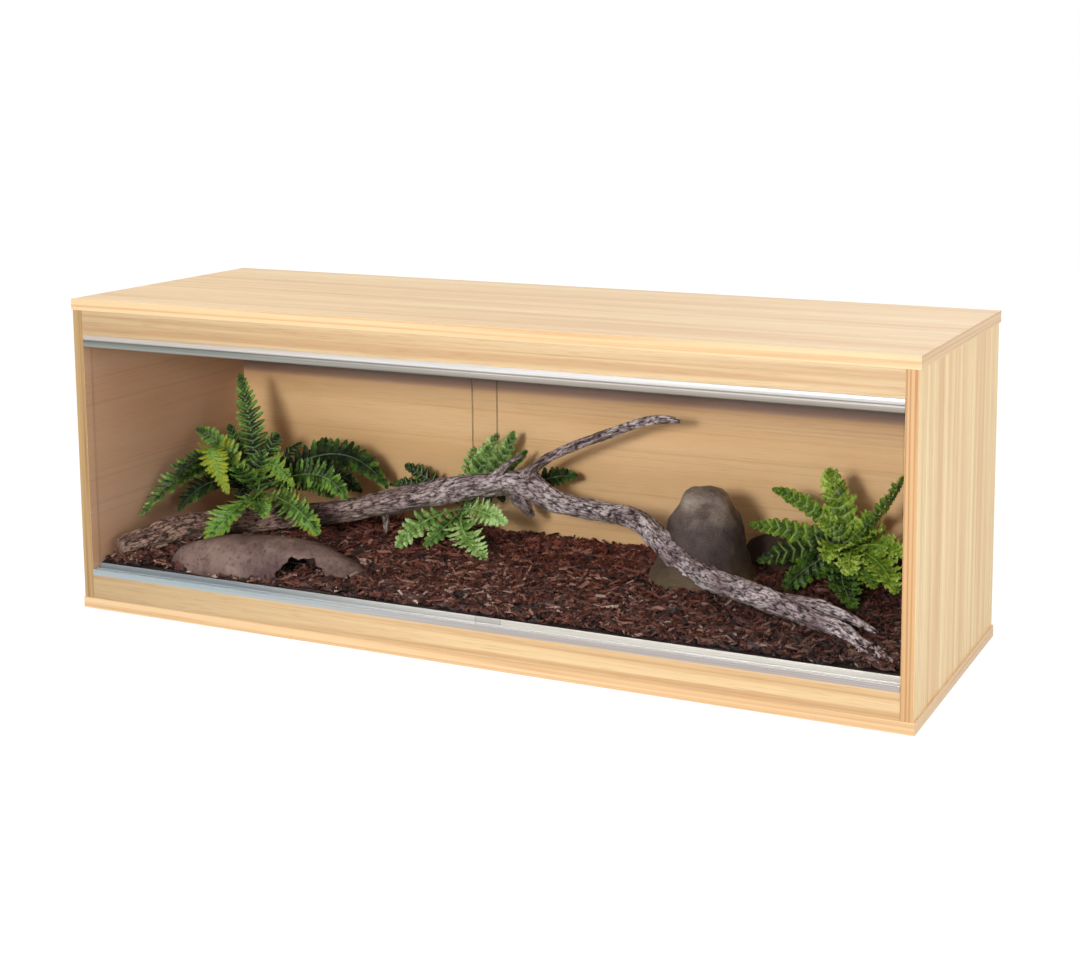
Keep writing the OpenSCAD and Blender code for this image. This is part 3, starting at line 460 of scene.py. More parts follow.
def piece_from(name, points, faces, material, body, attributes=None, smooth=True):
    """A piece from points (n, 3) and faces as index rows, with named numbers or vectors per
    point."""
    mesh = bpy.data.meshes.new(name)
    mesh.from_pydata(np.asarray(points).reshape(-1, 3).tolist(), [], [list(f) for f in faces])
    for label, values in (attributes or {}).items():
        kind, field = ("FLOAT", "value") if values.ndim == 1 else ("FLOAT_VECTOR", "vector")
        mesh.attributes.new(label, kind, "POINT").data.foreach_set(
            field, values.astype(np.float32).ravel())
    mesh.polygons.foreach_set("use_smooth", np.full(len(mesh.polygons), smooth))
    mesh.materials.append(material)
    mesh.update()
    piece = bpy.data.objects.new(name, mesh)
    scene.collection.objects.link(piece)
    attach(piece, body)
    return piece


BARK_TOP = 0.070
SIDE_IN = 0.558
BED_FRONT, BED_BACK = -0.1704, 0.1592
# Each thing that stands in the bark, by its middle x and y, half width and half depth. The bark
# is level under it, with a rim of 22 mm round it, and under the hide it is hollowed too.
HIDE_SPOT = -0.328, -0.1125, 0.134, 0.046
ROCK_SPOT = 0.230, 0.0315, 0.067, 0.078
SLATE_SPOT = 0.400, 0.1325, 0.140, 0.025
FERN_SPOTS = (-0.444, 0.0305), (-0.149, 0.0995), (0.416, 0.0905)
FERN_FOOT = 0.026, 0.026
RIM = 0.022
HIDE_SINK = 0.012
level_spots = np.array([HIDE_SPOT, ROCK_SPOT, SLATE_SPOT] + [spot + FERN_FOOT
                                                              for spot in FERN_SPOTS])


def bark_level(x, y):
    """Height of the bed: level at each spot, and away from it a dip of two crossed sine waves
    and a fall of 8 mm over the last 40 mm to the front. Round the hide it sinks by HIDE_SINK."""
    reach = np.hypot((x[:, None] - level_spots[:, 0]) / (level_spots[:, 2] + RIM),
                     (y[:, None] - level_spots[:, 1]) / (level_spots[:, 3] + RIM))
    loose = np.clip((reach - 1) / 0.3, 0, 1).min(axis=1)
    hide_x, hide_y, hide_a, hide_b = HIDE_SPOT
    hide_reach = np.hypot((x - hide_x) / (hide_a + 0.012), (y - hide_y) / (hide_b + 0.014))
    sunk = 1 - np.clip((hide_reach - 1) / 0.3, 0, 1)
    xd, yd = np.radians(1000 * x), np.radians(1000 * y)
    dip = 0.0035 * (0.5 + 0.3 * np.sin(1.9 * xd + 2.3 * yd) + 0.2 * np.sin(4.7 * xd - 3.1 * yd))
    return (BARK_TOP - HIDE_SINK * sunk
            - loose * (dip + 0.008 * np.clip(1 - (y - BED_FRONT) / 0.040, 0, 1)))


def bark_pile(x, y):
    """Extra height of chips piled against the upright stone's foot: up to 11 mm, fading out
    within 35 mm of it."""
    rock_x, rock_y, rock_a, rock_b = ROCK_SPOT
    gap = np.hypot((x - rock_x) / rock_a, (y - rock_y) / rock_b) - 1
    return 0.011 * np.clip(1 - np.abs(gap) / 0.45, 0, 1)


LAYER = 0.0048
CHIPS_IN_PIECE = 13500


def bark_chips(name, count, seed, material):
    """Chips as bent slivers with a ridge: three stations of three corners along a random length,
    each corner jittered, the middle lifted, then turned by yaw, pitch and roll and laid on the
    bed. A chip is 15 mm long on average, 2 to 6 mm wide and 1 to 3 mm thick. Its tone rises with
    its height in the layer, and one chip in 30 is pale."""
    rng = np.random.default_rng(seed)
    length = rng.gamma(3.2, 0.0034, count) + 0.004
    width = rng.uniform(0.0018, 0.0060, count)
    thick = rng.uniform(0.0008, 0.0030, count)
    along = np.array([-0.5, 0.0, 0.5])[:, None, None]
    across = np.array([-0.5, 0.5, 0.0])[None, :, None]
    above = np.array([-0.5, -0.5, 0.6])[None, :, None]
    taper = np.stack([rng.uniform(0.2, 0.8, count), np.ones(count), rng.uniform(0.2, 0.8, count)])

    def jitter():
        return np.clip(rng.normal(0, 0.12, (3, 3, count)), -0.2, 0.2)

    x = (along + 0.5 * jitter()) * length
    y = (across + jitter()) * taper[:, None, :] * width
    z = (above + jitter()) * thick + (0.25 - along ** 2) * rng.normal(0, 0.38, count) * length
    yaw = rng.uniform(0, 2 * np.pi, count)
    pitch, turn = rng.normal(0, 0.26, count), rng.normal(0, 0.45, count)
    y, z = y * np.cos(turn) - z * np.sin(turn), y * np.sin(turn) + z * np.cos(turn)
    x, z = x * np.cos(pitch) - z * np.sin(pitch), x * np.sin(pitch) + z * np.cos(pitch)
    x, y = x * np.cos(yaw) - y * np.sin(yaw), x * np.sin(yaw) + y * np.cos(yaw)
    half_x, half_y = np.abs(x).max(axis=(0, 1)), np.abs(y).max(axis=(0, 1))
    at_x = rng.uniform(-1, 1, count) * (SIDE_IN - 0.001 - half_x)
    at_y = BED_FRONT + half_y + rng.uniform(0, 1, count) * (BED_BACK - BED_FRONT - 2 * half_y)
    layer = rng.uniform(0, 1, count)
    at_z = (bark_level(at_x, at_y) + bark_pile(at_x, at_y) * rng.uniform(0, 1, count)
            + 0.0002 + LAYER * layer)
    points = np.stack([x + at_x, y + at_y, z + at_z], axis=-1).transpose(2, 0, 1, 3)
    quads = [[s * 3 + c, s * 3 + (c + 1) % 3, s * 3 + 3 + (c + 1) % 3, s * 3 + 3 + c]
             for s in (0, 1) for c in range(3)]
    ends = [[2, 1, 0], [6, 7, 8]]
    corners = 9
    shift = corners * np.arange(count)[:, None, None]
    faces = ((np.array(quads)[None] + shift).reshape(-1, 4).tolist()
             + (np.array(ends)[None] + shift).reshape(-1, 3).tolist())
    tone = np.clip(0.12 + 0.46 * layer ** 1.5 + rng.normal(0, 0.17, count)
                   + 0.06 * np.clip(at_y / 0.1, 0, 1), 0, 1)
    tone = np.where(rng.uniform(0, 1, count) < 0.035, rng.uniform(0.85, 1, count), tone)
    return piece_from(name, points, faces, material, "cabinet",
                      {"tone": np.repeat(tone, corners)}, smooth=False)


def chipped_bark(name, with_tone):
    """Bark colours by each chip's tone, or by a 9 mm noise for the bed below, broken up by fibres
    of 1.5 mm, redder towards the back and darker to the right, where the side panel shades it.
    Damp bark is half matt with a faint sheen."""
    material, tree = empty_material(name)
    place = add(tree, "ShaderNodeTexCoord").outputs["Object"]
    if with_tone:
        tone = add(tree, "ShaderNodeAttribute", attribute_name="tone").outputs["Fac"]
        shade = add(tree, "ShaderNodeValToRGB", {0: tone}, stops=[
            (0.0, "#0f0402"), (0.22, "#301109"), (0.42, "#5e2c1f"), (0.60, "#874c3a"),
            (0.78, "#ad7c67"), (1.0, "#cdb4a4")])
    else:
        crumbs = add(tree, "ShaderNodeTexNoise", {"Vector": place, "Scale": 110.0,
                                                  "Detail": 4.0})
        shade = add(tree, "ShaderNodeValToRGB", {0: crumbs.outputs[0]},
                    stops=[(0.3, "#130705"), (0.7, "#34180f")])
    fibre = add(tree, "ShaderNodeTexNoise", {"Vector": place, "Scale": 650.0, "Detail": 2.0})
    specks = add(tree, "ShaderNodeValToRGB", {0: fibre.outputs[0]},
                 stops=[(0.3, "#9a9a9a"), (0.7, "#ffffff")])
    colour = add(tree, "ShaderNodeMix", {0: 1.0, 6: shade.outputs[0], 7: specks.outputs[0]},
                 data_type="RGBA", blend_type="MULTIPLY")
    spot = add(tree, "ShaderNodeSeparateXYZ", {0: place}).outputs
    backwards = add(tree, "ShaderNodeMapRange", {0: spot["Y"], 1: -0.08, 2: 0.10, 4: 0.7})
    redder = add(tree, "ShaderNodeMix", {0: backwards.outputs[0], 6: colour.outputs[2],
                                         7: "#ffb8a2"}, data_type="RGBA", blend_type="MULTIPLY")
    rightwards = add(tree, "ShaderNodeMapRange", {0: spot["X"], 1: 0.15, 2: 0.45})
    shaded = add(tree, "ShaderNodeMix", {0: rightwards.outputs[0], 6: redder.outputs[2],
                                         7: "#cdc9c8"}, data_type="RGBA", blend_type="MULTIPLY")
    bump = add(tree, "ShaderNodeBump", {"Height": fibre.outputs[0], "Strength": 0.6,
                                        "Distance": 0.0006})
    bark = add(tree, "ShaderNodeBsdfPrincipled", {"Base Color": shaded.outputs[2],
                                                  "Roughness": 0.62, "Normal": bump.outputs[0]})
    add(tree, "ShaderNodeOutputMaterial", {"Surface": bark.outputs[0]})
    return material


dress(chipped_bark("dark_bark_crumbs", False), "bark_substrate")
chip_bark = chipped_bark("damp_chipped_bark", True)
for number, seed in enumerate((11, 31, 47)):
    bark_chips(f"bark_chips_{number + 1}", CHIPS_IN_PIECE, seed, chip_bark)


# Driftwood: one weathered limb that still has its bark, leaning from the front left corner over
# the bed to the front right, with a long twig, a broken spur, a stub and a peg that stands on the
# bark. Its right end is split: a second prong lies behind it and root fibres spread from its tip.
def smooth_path(points, steps):
    """A Catmull-Rom curve through rows of values: each span blends its four neighbours with the
    usual cubic weights, at steps places."""
    p = np.asarray(points, dtype=float)
    a, b = p[np.maximum(np.arange(len(p) - 1) - 1, 0)], p[:-1]
    c, d = p[1:], p[np.minimum(np.arange(len(p) - 1) + 2, len(p) - 1)]
    t = (np.arange(steps) / steps)[None, :, None]
    a, b, c, d = (v[:, None, :] for v in (a, b, c, d))
    curve = 0.5 * (2 * b + (c - a) * t + (2 * a - 5 * b + 4 * c - d) * t ** 2
                   + (3 * b - a - 3 * c + d) * t ** 3)
    return np.vstack([curve.reshape(-1, p.shape[1]), p[-1:]])


def unit(v):
    """Each vector divided by its own length."""
    return v / np.linalg.norm(v, axis=-1, keepdims=True)


def tube_faces(rings, sides, start=0):
    """Quads between successive rings, wound so that they face outwards when each ring runs
    clockwise seen from its end, and one triangle fan round a point at each end."""
    i, j = np.meshgrid(np.arange(rings - 1), np.arange(sides), indexing="ij")
    k = (j + 1) % sides
    quads = np.stack([i * sides + j, (i + 1) * sides + j, (i + 1) * sides + k, i * sides + k],
                     axis=-1).reshape(-1, 4) + start
    j = np.arange(sides)
    k = (j + 1) % sides
    first, last = rings * sides, rings * sides + 1
    base = (rings - 1) * sides
    ends = np.vstack([np.stack([np.full(sides, first), j, k], axis=-1),
                      np.stack([np.full(sides, last), base + k, base + j], axis=-1)]) + start
    return quads.tolist() + ends.tolist()


def tube_points(rings):
    """The points of successive rings, then the middle of the first ring and of the last, round
    which tube_faces closes the ends."""
    return np.vstack([rings.reshape(-1, 3), rings[0].mean(0)[None], rings[-1].mean(0)[None]])


def joined(parts, *labels):
    """Closed shapes as one mesh: each part is its points, its faces and the values of the named
    attributes, and the faces of each count on from the points before."""
    starts = np.cumsum([0] + [len(part[0]) for part in parts])
    faces = [[corner + start for corner in face]
             for part, start in zip(parts, starts) for face in part[1]]
    values = {label: np.concatenate([part[2 + i] for part in parts])
              for i, label in enumerate(labels)}
    return np.vstack([part[0] for part in parts]), faces, values


def bark_limb(points, steps, sides, rough, seed):
    """A limb along points of place and radius. Its radius swells as the part's solid does, by
    waves of three and five round it, and carries flakes of bark drawn out along the limb: two
    octaves of noise folded at zero, which leaves thin cracks between flat plates, and a finer
    crumble. Returns points, faces, the flakes' height from 0 to 1 and each point's place on the
    skin: the way along the limb, and across it."""
    path = smooth_path(points, steps)
    centre, radius = path[:, :3], path[:, 3]
    along = unit(np.gradient(centre, axis=0))
    across = unit(np.cross(along, [0, 0.2, 1]))
    up = np.cross(across, along)
    angle = 2 * np.pi * np.arange(sides) / sides
    station = np.arange(len(path))[:, None] / steps * 3
    swell = (0.09 * np.sin(3 * angle + np.radians(47 * station))
             + 0.05 * np.sin(5 * angle - np.radians(83 * station)))
    run = np.concatenate([[0], np.cumsum(np.linalg.norm(np.diff(centre, axis=0), axis=1))])
    skin = np.stack([np.broadcast_to(run[:, None], (len(path), sides)),
                     radius[:, None] * np.cos(angle), radius[:, None] * np.sin(angle)], axis=-1)
    plates = np.clip(2.8 * np.abs(noise3(skin / [3.2, 1, 1], 0.0044, seed)), 0, 1)
    flakes = np.clip(2.6 * np.abs(noise3(skin / [3.0, 1, 1], 0.0025, seed + 1)), 0, 1)
    crumble = noise3(skin / [2.0, 1, 1], 0.0016, seed + 2)
    height = 0.42 * plates + 0.38 * flakes + 0.22 * crumble
    r = radius[:, None] * (1 + swell) + rough * (height - 0.55)
    ring = (centre[:, None] + r[..., None] * (np.cos(angle)[None, :, None] * across[:, None]
                                              + np.sin(angle)[None, :, None] * up[:, None]))
    verts = np.vstack([ring.reshape(-1, 3), centre[:1], centre[-1:]])
    tall = np.clip((height + 0.15) / 1.05, 0, 1)
    ends = [[run[0], 0, 0], [run[-1], 0, 0]]
    return (verts, tube_faces(len(path), sides), np.concatenate([tall.ravel(), [0.6, 0.6]]),
            np.vstack([skin.reshape(-1, 3), ends]))


def weathered_bark(name):
    """Bark by its flakes' height and by ridges 1.6 mm wide and 6 mm long drawn out along the
    limb: near black in the cracks, lilac grey on the flakes and pale where they have worn. Its
    old left end is browner, and damp patches of 60 mm are darker."""
    material, tree = empty_material(name)
    place = add(tree, "ShaderNodeTexCoord").outputs["Object"]
    height = add(tree, "ShaderNodeAttribute", attribute_name="height").outputs["Fac"]
    skin = add(tree, "ShaderNodeAttribute", attribute_name="skin").outputs["Vector"]
    drawn = add(tree, "ShaderNodeMapping", {"Vector": skin, "Scale": (165.0, 620.0, 620.0)})
    fine = add(tree, "ShaderNodeTexNoise", {"Vector": drawn.outputs[0], "Scale": 1.0,
                                            "Detail": 4.0, "Roughness": 0.7})
    grain = add(tree, "ShaderNodeMapRange", {0: fine.outputs[0], 1: 0.3, 2: 0.7, 3: -0.40,
                                             4: 0.40})
    level = add(tree, "ShaderNodeMath", {0: height, 1: grain.outputs[0]}, operation="ADD")
    bark = add(tree, "ShaderNodeValToRGB", {0: level.outputs[0]}, stops=[
        (0.12, "#160f0d"), (0.32, "#45383a"), (0.52, "#7a6c6c"), (0.70, "#a8999c"),
        (0.92, "#d6cbca")])
    spot = add(tree, "ShaderNodeSeparateXYZ", {0: place}).outputs
    old_end = add(tree, "ShaderNodeMapRange", {0: spot["X"], 1: -0.10, 2: -0.42})
    browned = add(tree, "ShaderNodeMix", {0: old_end.outputs[0], 6: bark.outputs[0],
                                          7: "#d8bca4"}, data_type="RGBA", blend_type="MULTIPLY")
    patch = add(tree, "ShaderNodeTexNoise", {"Vector": place, "Scale": 16.0, "Detail": 3.0})
    damp = add(tree, "ShaderNodeValToRGB", {0: patch.outputs[0]},
               stops=[(0.42, "#ffffff"), (0.66, "#a8959a")])
    damped_and_shaded = add(tree, "ShaderNodeMix", {0: 1.0, 6: browned.outputs[2], 7: damp.outputs[0]},
                 data_type="RGBA", blend_type="MULTIPLY")
    facing = add(tree, "ShaderNodeSeparateXYZ",
                 {0: add(tree, "ShaderNodeNewGeometry").outputs["Normal"]})
    below = add(tree, "ShaderNodeMapRange", {0: facing.outputs["Z"], 1: 0.0, 2: -0.8, 4: 0.55})
    colour = add(tree, "ShaderNodeMix", {0: below.outputs[0], 6: damped_and_shaded.outputs[2],
                                         7: "#6a5b3c"}, data_type="RGBA")
    bump = add(tree, "ShaderNodeBump", {"Height": fine.outputs[0], "Strength": 1.0,
                                        "Distance": 0.0012})
    wood = add(tree, "ShaderNodeBsdfPrincipled", {"Base Color": colour.outputs[2],
                                                  "Roughness": 0.85, "Normal": bump.outputs[0]})
    add(tree, "ShaderNodeOutputMaterial", {"Surface": wood.outputs[0]})
    return material


def on_bed(rows):
    """Rows of millimetres along the case, back from its front, above the bark, and radius, as
    metres in the part's frame."""
    return np.array(rows, dtype=float) / 1000 + [0, FRONT, BARK_TOP, 0]


# Each limb's rows, its steps from row to row, its sides, the depth of its bark and its seed.
limb_rows = [
    # The limb itself, from its old left end to the tip of its first prong.
    ([[-538, 32, 9, 12.5], [-520, 73, 15, 15], [-502, 116, 21, 18], [-476, 155, 18, 18],
      [-420, 188, 22, 16], [-317, 222, 38, 15.5], [-231, 246, 55, 16.5], [-155, 262, 74, 17],
      [-80, 268, 91, 16], [-34, 268, 89, 18], [15, 260, 75, 14], [96, 242, 73, 12.5],
      [149, 224, 71, 13.5], [181, 204, 58, 14.5], [208, 188, 45, 15], [244, 172, 33, 15],
      [304, 146, 24, 14], [360, 124, 22, 13], [413, 103, 15, 11], [465, 84, 8, 9.5],
      [500, 62, 1, 8], [524, 45, -3, 6.5], [540, 34, -6, 4]], 34, 104, 0.0024, 5),
    # The long twig and the broken spur, both from the fork.
    ([[-43, 268, 101, 9], [-20, 270, 123, 6.5], [16, 274, 144, 6], [66, 278, 166, 6.5],
      [123, 280, 188, 6], [155, 280, 196, 6], [180, 278, 196, 3]], 30, 44, 0.0016, 17),
    ([[-84, 260, 102, 6], [-60, 254, 122, 4], [-37, 250, 137, 3]], 16, 28, 0.0010, 23),
    # The stub under the fork and the peg.
    ([[-60, 272, 79, 12], [-50, 280, 60, 9], [-42, 288, 43, 4]], 20, 44, 0.0016, 31),
    ([[-252, 248, 43, 7], [-255, 254, 18, 4], [-257, 256, 0.3, 3]], 16, 28, 0.0010, 37),
    # The second prong and the three root fibres.
    ([[368, 128, 23, 8], [414, 127, 22, 7.5], [451, 123, 17, 6.5], [477, 116, 10, 5],
      [500, 108, 4, 2.5]], 20, 48, 0.0018, 43),
    ([[486, 72, 5, 6], [516, 61, 1, 4], [547, 54, -2, 1.5]], 16, 24, 0.0010, 53),
    ([[488, 64, 3, 6], [510, 40, -2, 3.6], [529, 25, -4, 1.5]], 16, 24, 0.0010, 59),
    ([[500, 58, 2, 5], [530, 44, -1, 3.4], [551, 34, -4, 1.5]], 16, 24, 0.0010, 61)]
limbs = [bark_limb(on_bed(rows), *make) for rows, *make in limb_rows]
limb_points, limb_faces, limb_values = joined(limbs, "height", "skin")
driftwood = piece_from("driftwood", limb_points, limb_faces, weathered_bark("weathered_bark"),
                       "cabinet", limb_values)
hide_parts("driftwood_branch")


# Stones: a smooth cone of brown-grey rock under the branch and a low dark slate behind the
# right fern. Both lie loose on the bark.
def field_stone(name, colours, foot, grain_mm):
    """Stone in mottled patches of 38 mm with grains of grain_mm. It darkens downwards towards the
    bark, a painted shade that leaves it lightest on top, and turns to the foot colour over its
    lowest 40 mm."""
    material, tree = empty_material(name)
    place = add(tree, "ShaderNodeTexCoord").outputs["Object"]
    patches = add(tree, "ShaderNodeTexNoise", {"Vector": place, "Scale": 26.0, "Detail": 5.0,
                                               "Roughness": 0.6})
    mottled = add(tree, "ShaderNodeValToRGB", {0: patches.outputs[0]},
                  stops=[(0.36, colours[0]), (0.50, colours[1]), (0.64, colours[2])])
    grains = add(tree, "ShaderNodeTexNoise", {"Vector": place, "Scale": 1000 / grain_mm,
                                              "Detail": 3.0})
    specks = add(tree, "ShaderNodeValToRGB", {0: grains.outputs[0]},
                 stops=[(0.32, "#a0a0a0"), (0.68, "#ffffff")])
    grained = add(tree, "ShaderNodeMix", {0: 0.8, 6: mottled.outputs[0], 7: specks.outputs[0]},
                  data_type="RGBA", blend_type="MULTIPLY")
    spot = add(tree, "ShaderNodeSeparateXYZ", {0: place}).outputs
    # Painted shade: the stone darkens downwards from 172 mm and is lightest on top.
    damp = add(tree, "ShaderNodeMapRange", {0: spot["Z"], 1: 0.105, 2: 0.172})
    shade = add(tree, "ShaderNodeValToRGB", {0: damp.outputs[0]},
                stops=[(0.0, "#7b6761"), (0.3, "#75686a"), (0.62, "#84797d"),
                       (0.92, "#d8d3d0"), (1.0, "#ffffff")])
    damped_and_shaded = add(tree, "ShaderNodeMix", {0: 1.0, 6: grained.outputs[2], 7: shade.outputs[0]},
                 data_type="RGBA", blend_type="MULTIPLY")
    low = add(tree, "ShaderNodeMapRange", {0: spot["Z"], 1: 0.080, 2: 0.112, 3: 0.45, 4: 0.0})
    colour = add(tree, "ShaderNodeMix", {0: low.outputs[0], 6: damped_and_shaded.outputs[2], 7: foot},
                 data_type="RGBA")
    bump = add(tree, "ShaderNodeBump", {"Height": grains.outputs[0], "Strength": 0.8,
                                        "Distance": 0.0012})
    rock = add(tree, "ShaderNodeBsdfPrincipled", {"Base Color": colour.outputs[2],
                                                  "Roughness": 0.8, "Normal": bump.outputs[0]})
    add(tree, "ShaderNodeOutputMaterial", {"Surface": rock.outputs[0]})
    return material


def stone(name, node, at, height, rings, rough, lumps, seed, material):
    """A stone through rings of height share, half width, half depth and shift to the back, in
    mm, blended smoothly, swollen by the solid's waves and by three octaves of noise. Its height
    is in mm too, and clear is the gap that keeps it off the bark."""
    sides, steps, clear = 96, 14, 0.0003
    path = smooth_path(rings, steps)
    angle = 2 * np.pi * np.arange(sides) / sides
    i = (np.arange(len(path)) / steps)[:, None]
    r = 1 + rough * (np.sin(2 * angle + np.radians(65 * i + 20))
                     + 0.6 * np.sin(5 * angle - np.radians(40 * i)))
    ring = np.stack([path[:, 1:2] * r * np.cos(angle),
                     path[:, 2:3] * r * np.sin(angle) + path[:, 3:4],
                     np.broadcast_to(path[:, 0:1] * height, r.shape)], axis=-1) / 1000
    ring += [at[0], at[1], BARK_TOP + clear]
    out = unit(ring - [at[0], at[1] + path[0, 3] / 1000, BARK_TOP + 0.3 * height / 1000])
    lump = (lumps * noise3(ring, 0.030, seed) + 0.45 * lumps * noise3(ring, 0.013, seed + 1)
            + 0.0008 * noise3(ring, 0.005, seed + 2) - 0.35 * lumps)
    ring += out * lump[..., None]
    ring[..., 2] = np.clip(ring[..., 2], BARK_TOP + clear, BARK_TOP + clear + height / 1000)
    piece = piece_from(name, tube_points(ring[:, ::-1]), tube_faces(len(path), sides), material,
                       "cabinet")
    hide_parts(node)


stone("upright_stone", "cone_rock", (ROCK_SPOT[0] + 0.005, ROCK_SPOT[1]), 124,
      [[0, 69, 78, 0], [0.07, 70, 75, 0], [0.3, 60, 60, 5], [0.6, 50, 47, 12],
       [0.83, 36, 35, 17], [0.95, 28, 28, 19], [1, 17, 16, 19]], 0.03, 0.0046, 41,
      field_stone("water_worn_rock", ("#75665f", "#a3958a", "#c4b7a8"), "#7a6b48", 1.6))
stone("slate_stone", "slate_ledge", SLATE_SPOT[:2], 48,
      [[0, 138, 22, 0], [0.25, 140, 25, 0], [0.75, 132, 20, 0], [1, 112, 11, 0]], 0.03, 0.0022,
      53, field_stone("dark_slate", ("#6a4b46", "#8a6a5e", "#a58574"), "#4d3629", 2.2))

# Hide: a low hollow dome cast in resin to look like stone, pitted, with an arched mouth towards
# the front right. It lies loose on the bark behind the left pane.
HIDE_TURN = math.radians(12)
HIDE_SIDES = 120
# In mm: half length, half depth, height and wall, then the middle of the mouth before the hide
# is turned, half the mouth's width and its height.
HIDE_A, HIDE_B, HIDE_H, HIDE_WALL = 138, 46, 50, 6
MOUTH_X, MOUTH_Y, MOUTH_HALF, MOUTH_H = 60, -30, 31, 30


def dome(a, b, h, rise):
    """Half an egg: rings that shrink with the cosine of their rise to the power 0.85, waved three
    and five times round, in mm."""
    turn = 2 * np.pi * np.arange(HIDE_SIDES) / HIDE_SIDES
    up = np.radians(rise)[:, None]
    r = np.cos(up) ** 0.85 * (1 + 0.03 * np.sin(3 * turn + 5 * up)
                              + 0.02 * np.sin(5 * turn - 4 * up))
    return np.stack([a * r * np.cos(turn), b * r * np.sin(turn),
                     np.broadcast_to(h * np.sin(up), r.shape)], axis=-1) / 1000


outer = dome(HIDE_A, HIDE_B, HIDE_H, np.linspace(88, 0, 44))
pits = -np.clip(noise3(outer, 0.006, 61) - 0.5, 0, 1) * 0.002
lumps = 0.0020 * noise3(outer, 0.030, 62) + 0.0004 * noise3(outer, 0.005, 63) - 0.0018
rough_share = np.clip(outer[..., 2] / 0.010, 0, 1)
outer += unit(outer * [0.25, 1, 1] + [0, 0, 1e-4]) * ((pits + lumps) * rough_share)[..., None]
inner = dome(HIDE_A - HIDE_WALL, HIDE_B - HIDE_WALL, HIDE_H - HIDE_WALL, np.linspace(0, 88, 24))
shell = np.concatenate([outer, inner])
cosine, sine = math.cos(HIDE_TURN), math.sin(HIDE_TURN)
spin = np.array([[cosine, sine, 0], [-sine, cosine, 0], [0, 0, 1]])
hide_base = BARK_TOP - HIDE_SINK + 0.0003
hide_points = tube_points(shell) @ spin + [HIDE_SPOT[0] - 0.004, HIDE_SPOT[1], hide_base]


def cast_resin(name):
    """Resin coloured through as purple-brown stone, washed paler on top, pitted by casting:
    patches of 30 mm and pits of 5 mm."""
    material, tree = empty_material(name)
    place = add(tree, "ShaderNodeTexCoord").outputs["Object"]
    patches = add(tree, "ShaderNodeTexNoise", {"Vector": place, "Scale": 30.0, "Detail": 5.0})
    tone = add(tree, "ShaderNodeValToRGB", {0: patches.outputs[0]},
               stops=[(0.34, "#553c3a"), (0.5, "#735b53"), (0.66, "#877066")])
    pits = add(tree, "ShaderNodeTexNoise", {"Vector": place, "Scale": 190.0, "Detail": 3.0})
    wash = add(tree, "ShaderNodeValToRGB", {0: pits.outputs[0]},
               stops=[(0.26, "#8c8488"), (0.40, "#e4e0e0"), (0.7, "#ffffff")])
    colour = add(tree, "ShaderNodeMix", {0: 1.0, 6: tone.outputs[0], 7: wash.outputs[0]},
                 data_type="RGBA", blend_type="MULTIPLY")
    bump = add(tree, "ShaderNodeBump", {"Height": pits.outputs[0], "Strength": 0.8,
                                        "Distance": 0.0015})
    resin = add(tree, "ShaderNodeBsdfPrincipled", {"Base Color": colour.outputs[2],
                                                   "Roughness": 0.78, "Normal": bump.outputs[0]})
    add(tree, "ShaderNodeOutputMaterial", {"Surface": resin.outputs[0]})
    return material


hide = piece_from("stone_hide", hide_points, tube_faces(len(shell), HIDE_SIDES),
                  cast_resin("cast_resin_stone"), "cabinet")
# The mouth is an arch with a chipped edge, cut through the front wall.
arch = np.radians(np.linspace(0, 180, 25))
chips = 1 + 0.07 * np.sin(7 * arch) + 0.05 * np.sin(13 * arch + 1)
profile = np.stack([MOUTH_HALF * np.cos(arch) * chips,
                    MOUTH_H * np.sin(arch) ** 0.7 * chips], axis=-1)
profile = np.vstack([[MOUTH_HALF, -3], profile, [-MOUTH_HALF, -3]])
swing = HIDE_TURN + math.radians(10)
facing_way = np.array([math.sin(swing), -math.cos(swing)])
mouth_x = HIDE_SPOT[0] + (MOUTH_X * cosine - MOUTH_Y * sine) / 1000
mouth_y = HIDE_SPOT[1] + (MOUTH_X * sine + MOUTH_Y * cosine) / 1000
cutter_rings = np.array([np.stack([
    mouth_x + (profile[:, 0] * math.cos(swing) + reach * facing_way[0]) / 1000,
    mouth_y + (profile[:, 0] * math.sin(swing) + reach * facing_way[1]) / 1000,
    hide_base + profile[:, 1] / 1000], axis=-1) for reach in (HIDE_B, -HIDE_B)])
cutter_mesh = bpy.data.meshes.new("mouth_cutter")
cutter_mesh.from_pydata(tube_points(cutter_rings).tolist(), [], tube_faces(2, len(profile)))
cutter = bpy.data.objects.new("mouth_cutter", cutter_mesh)
scene.collection.objects.link(cutter)
cut = hide.modifiers.new("mouth", "BOOLEAN")
cut.operation = "DIFFERENCE"
cut.solver = "EXACT"
cut.object = cutter
bpy.context.view_layer.update()
opened = bpy.data.meshes.new_from_object(hide.evaluated_get(
    bpy.context.evaluated_depsgraph_get()))
hide.modifiers.clear()
hide.data = opened
bpy.data.objects.remove(cutter)
# The cut leaves a few folded slivers without area along the mouth's edge; they are dissolved.
clean = bmesh.new()
clean.from_mesh(opened)
bmesh.ops.triangulate(clean, faces=clean.faces[:])
bmesh.ops.dissolve_degenerate(clean, dist=0.00005, edges=clean.edges[:])
clean.to_mesh(opened)
clean.free()
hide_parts("cave_hide")


# Ferns: moulded leaves on wired stalks that spring from a short neck in the bark. Each frond is
# a row of crinkled leaflets on both sides of an arching stalk.
LEAF_RINGS, RING_POINTS = 9, 4
STALK_RINGS, STALK_SIDES = 22, 6


def frond_reach(t, width):
    """Half the width of a frond at share t: a bare stalk, then a belly that narrows to a tip."""
    s = np.clip((t - 0.12) / 0.88, 0, 0.999)
    return np.maximum(0.0006, width / 2 * np.sin(np.pi * s ** 0.72) ** 0.55)


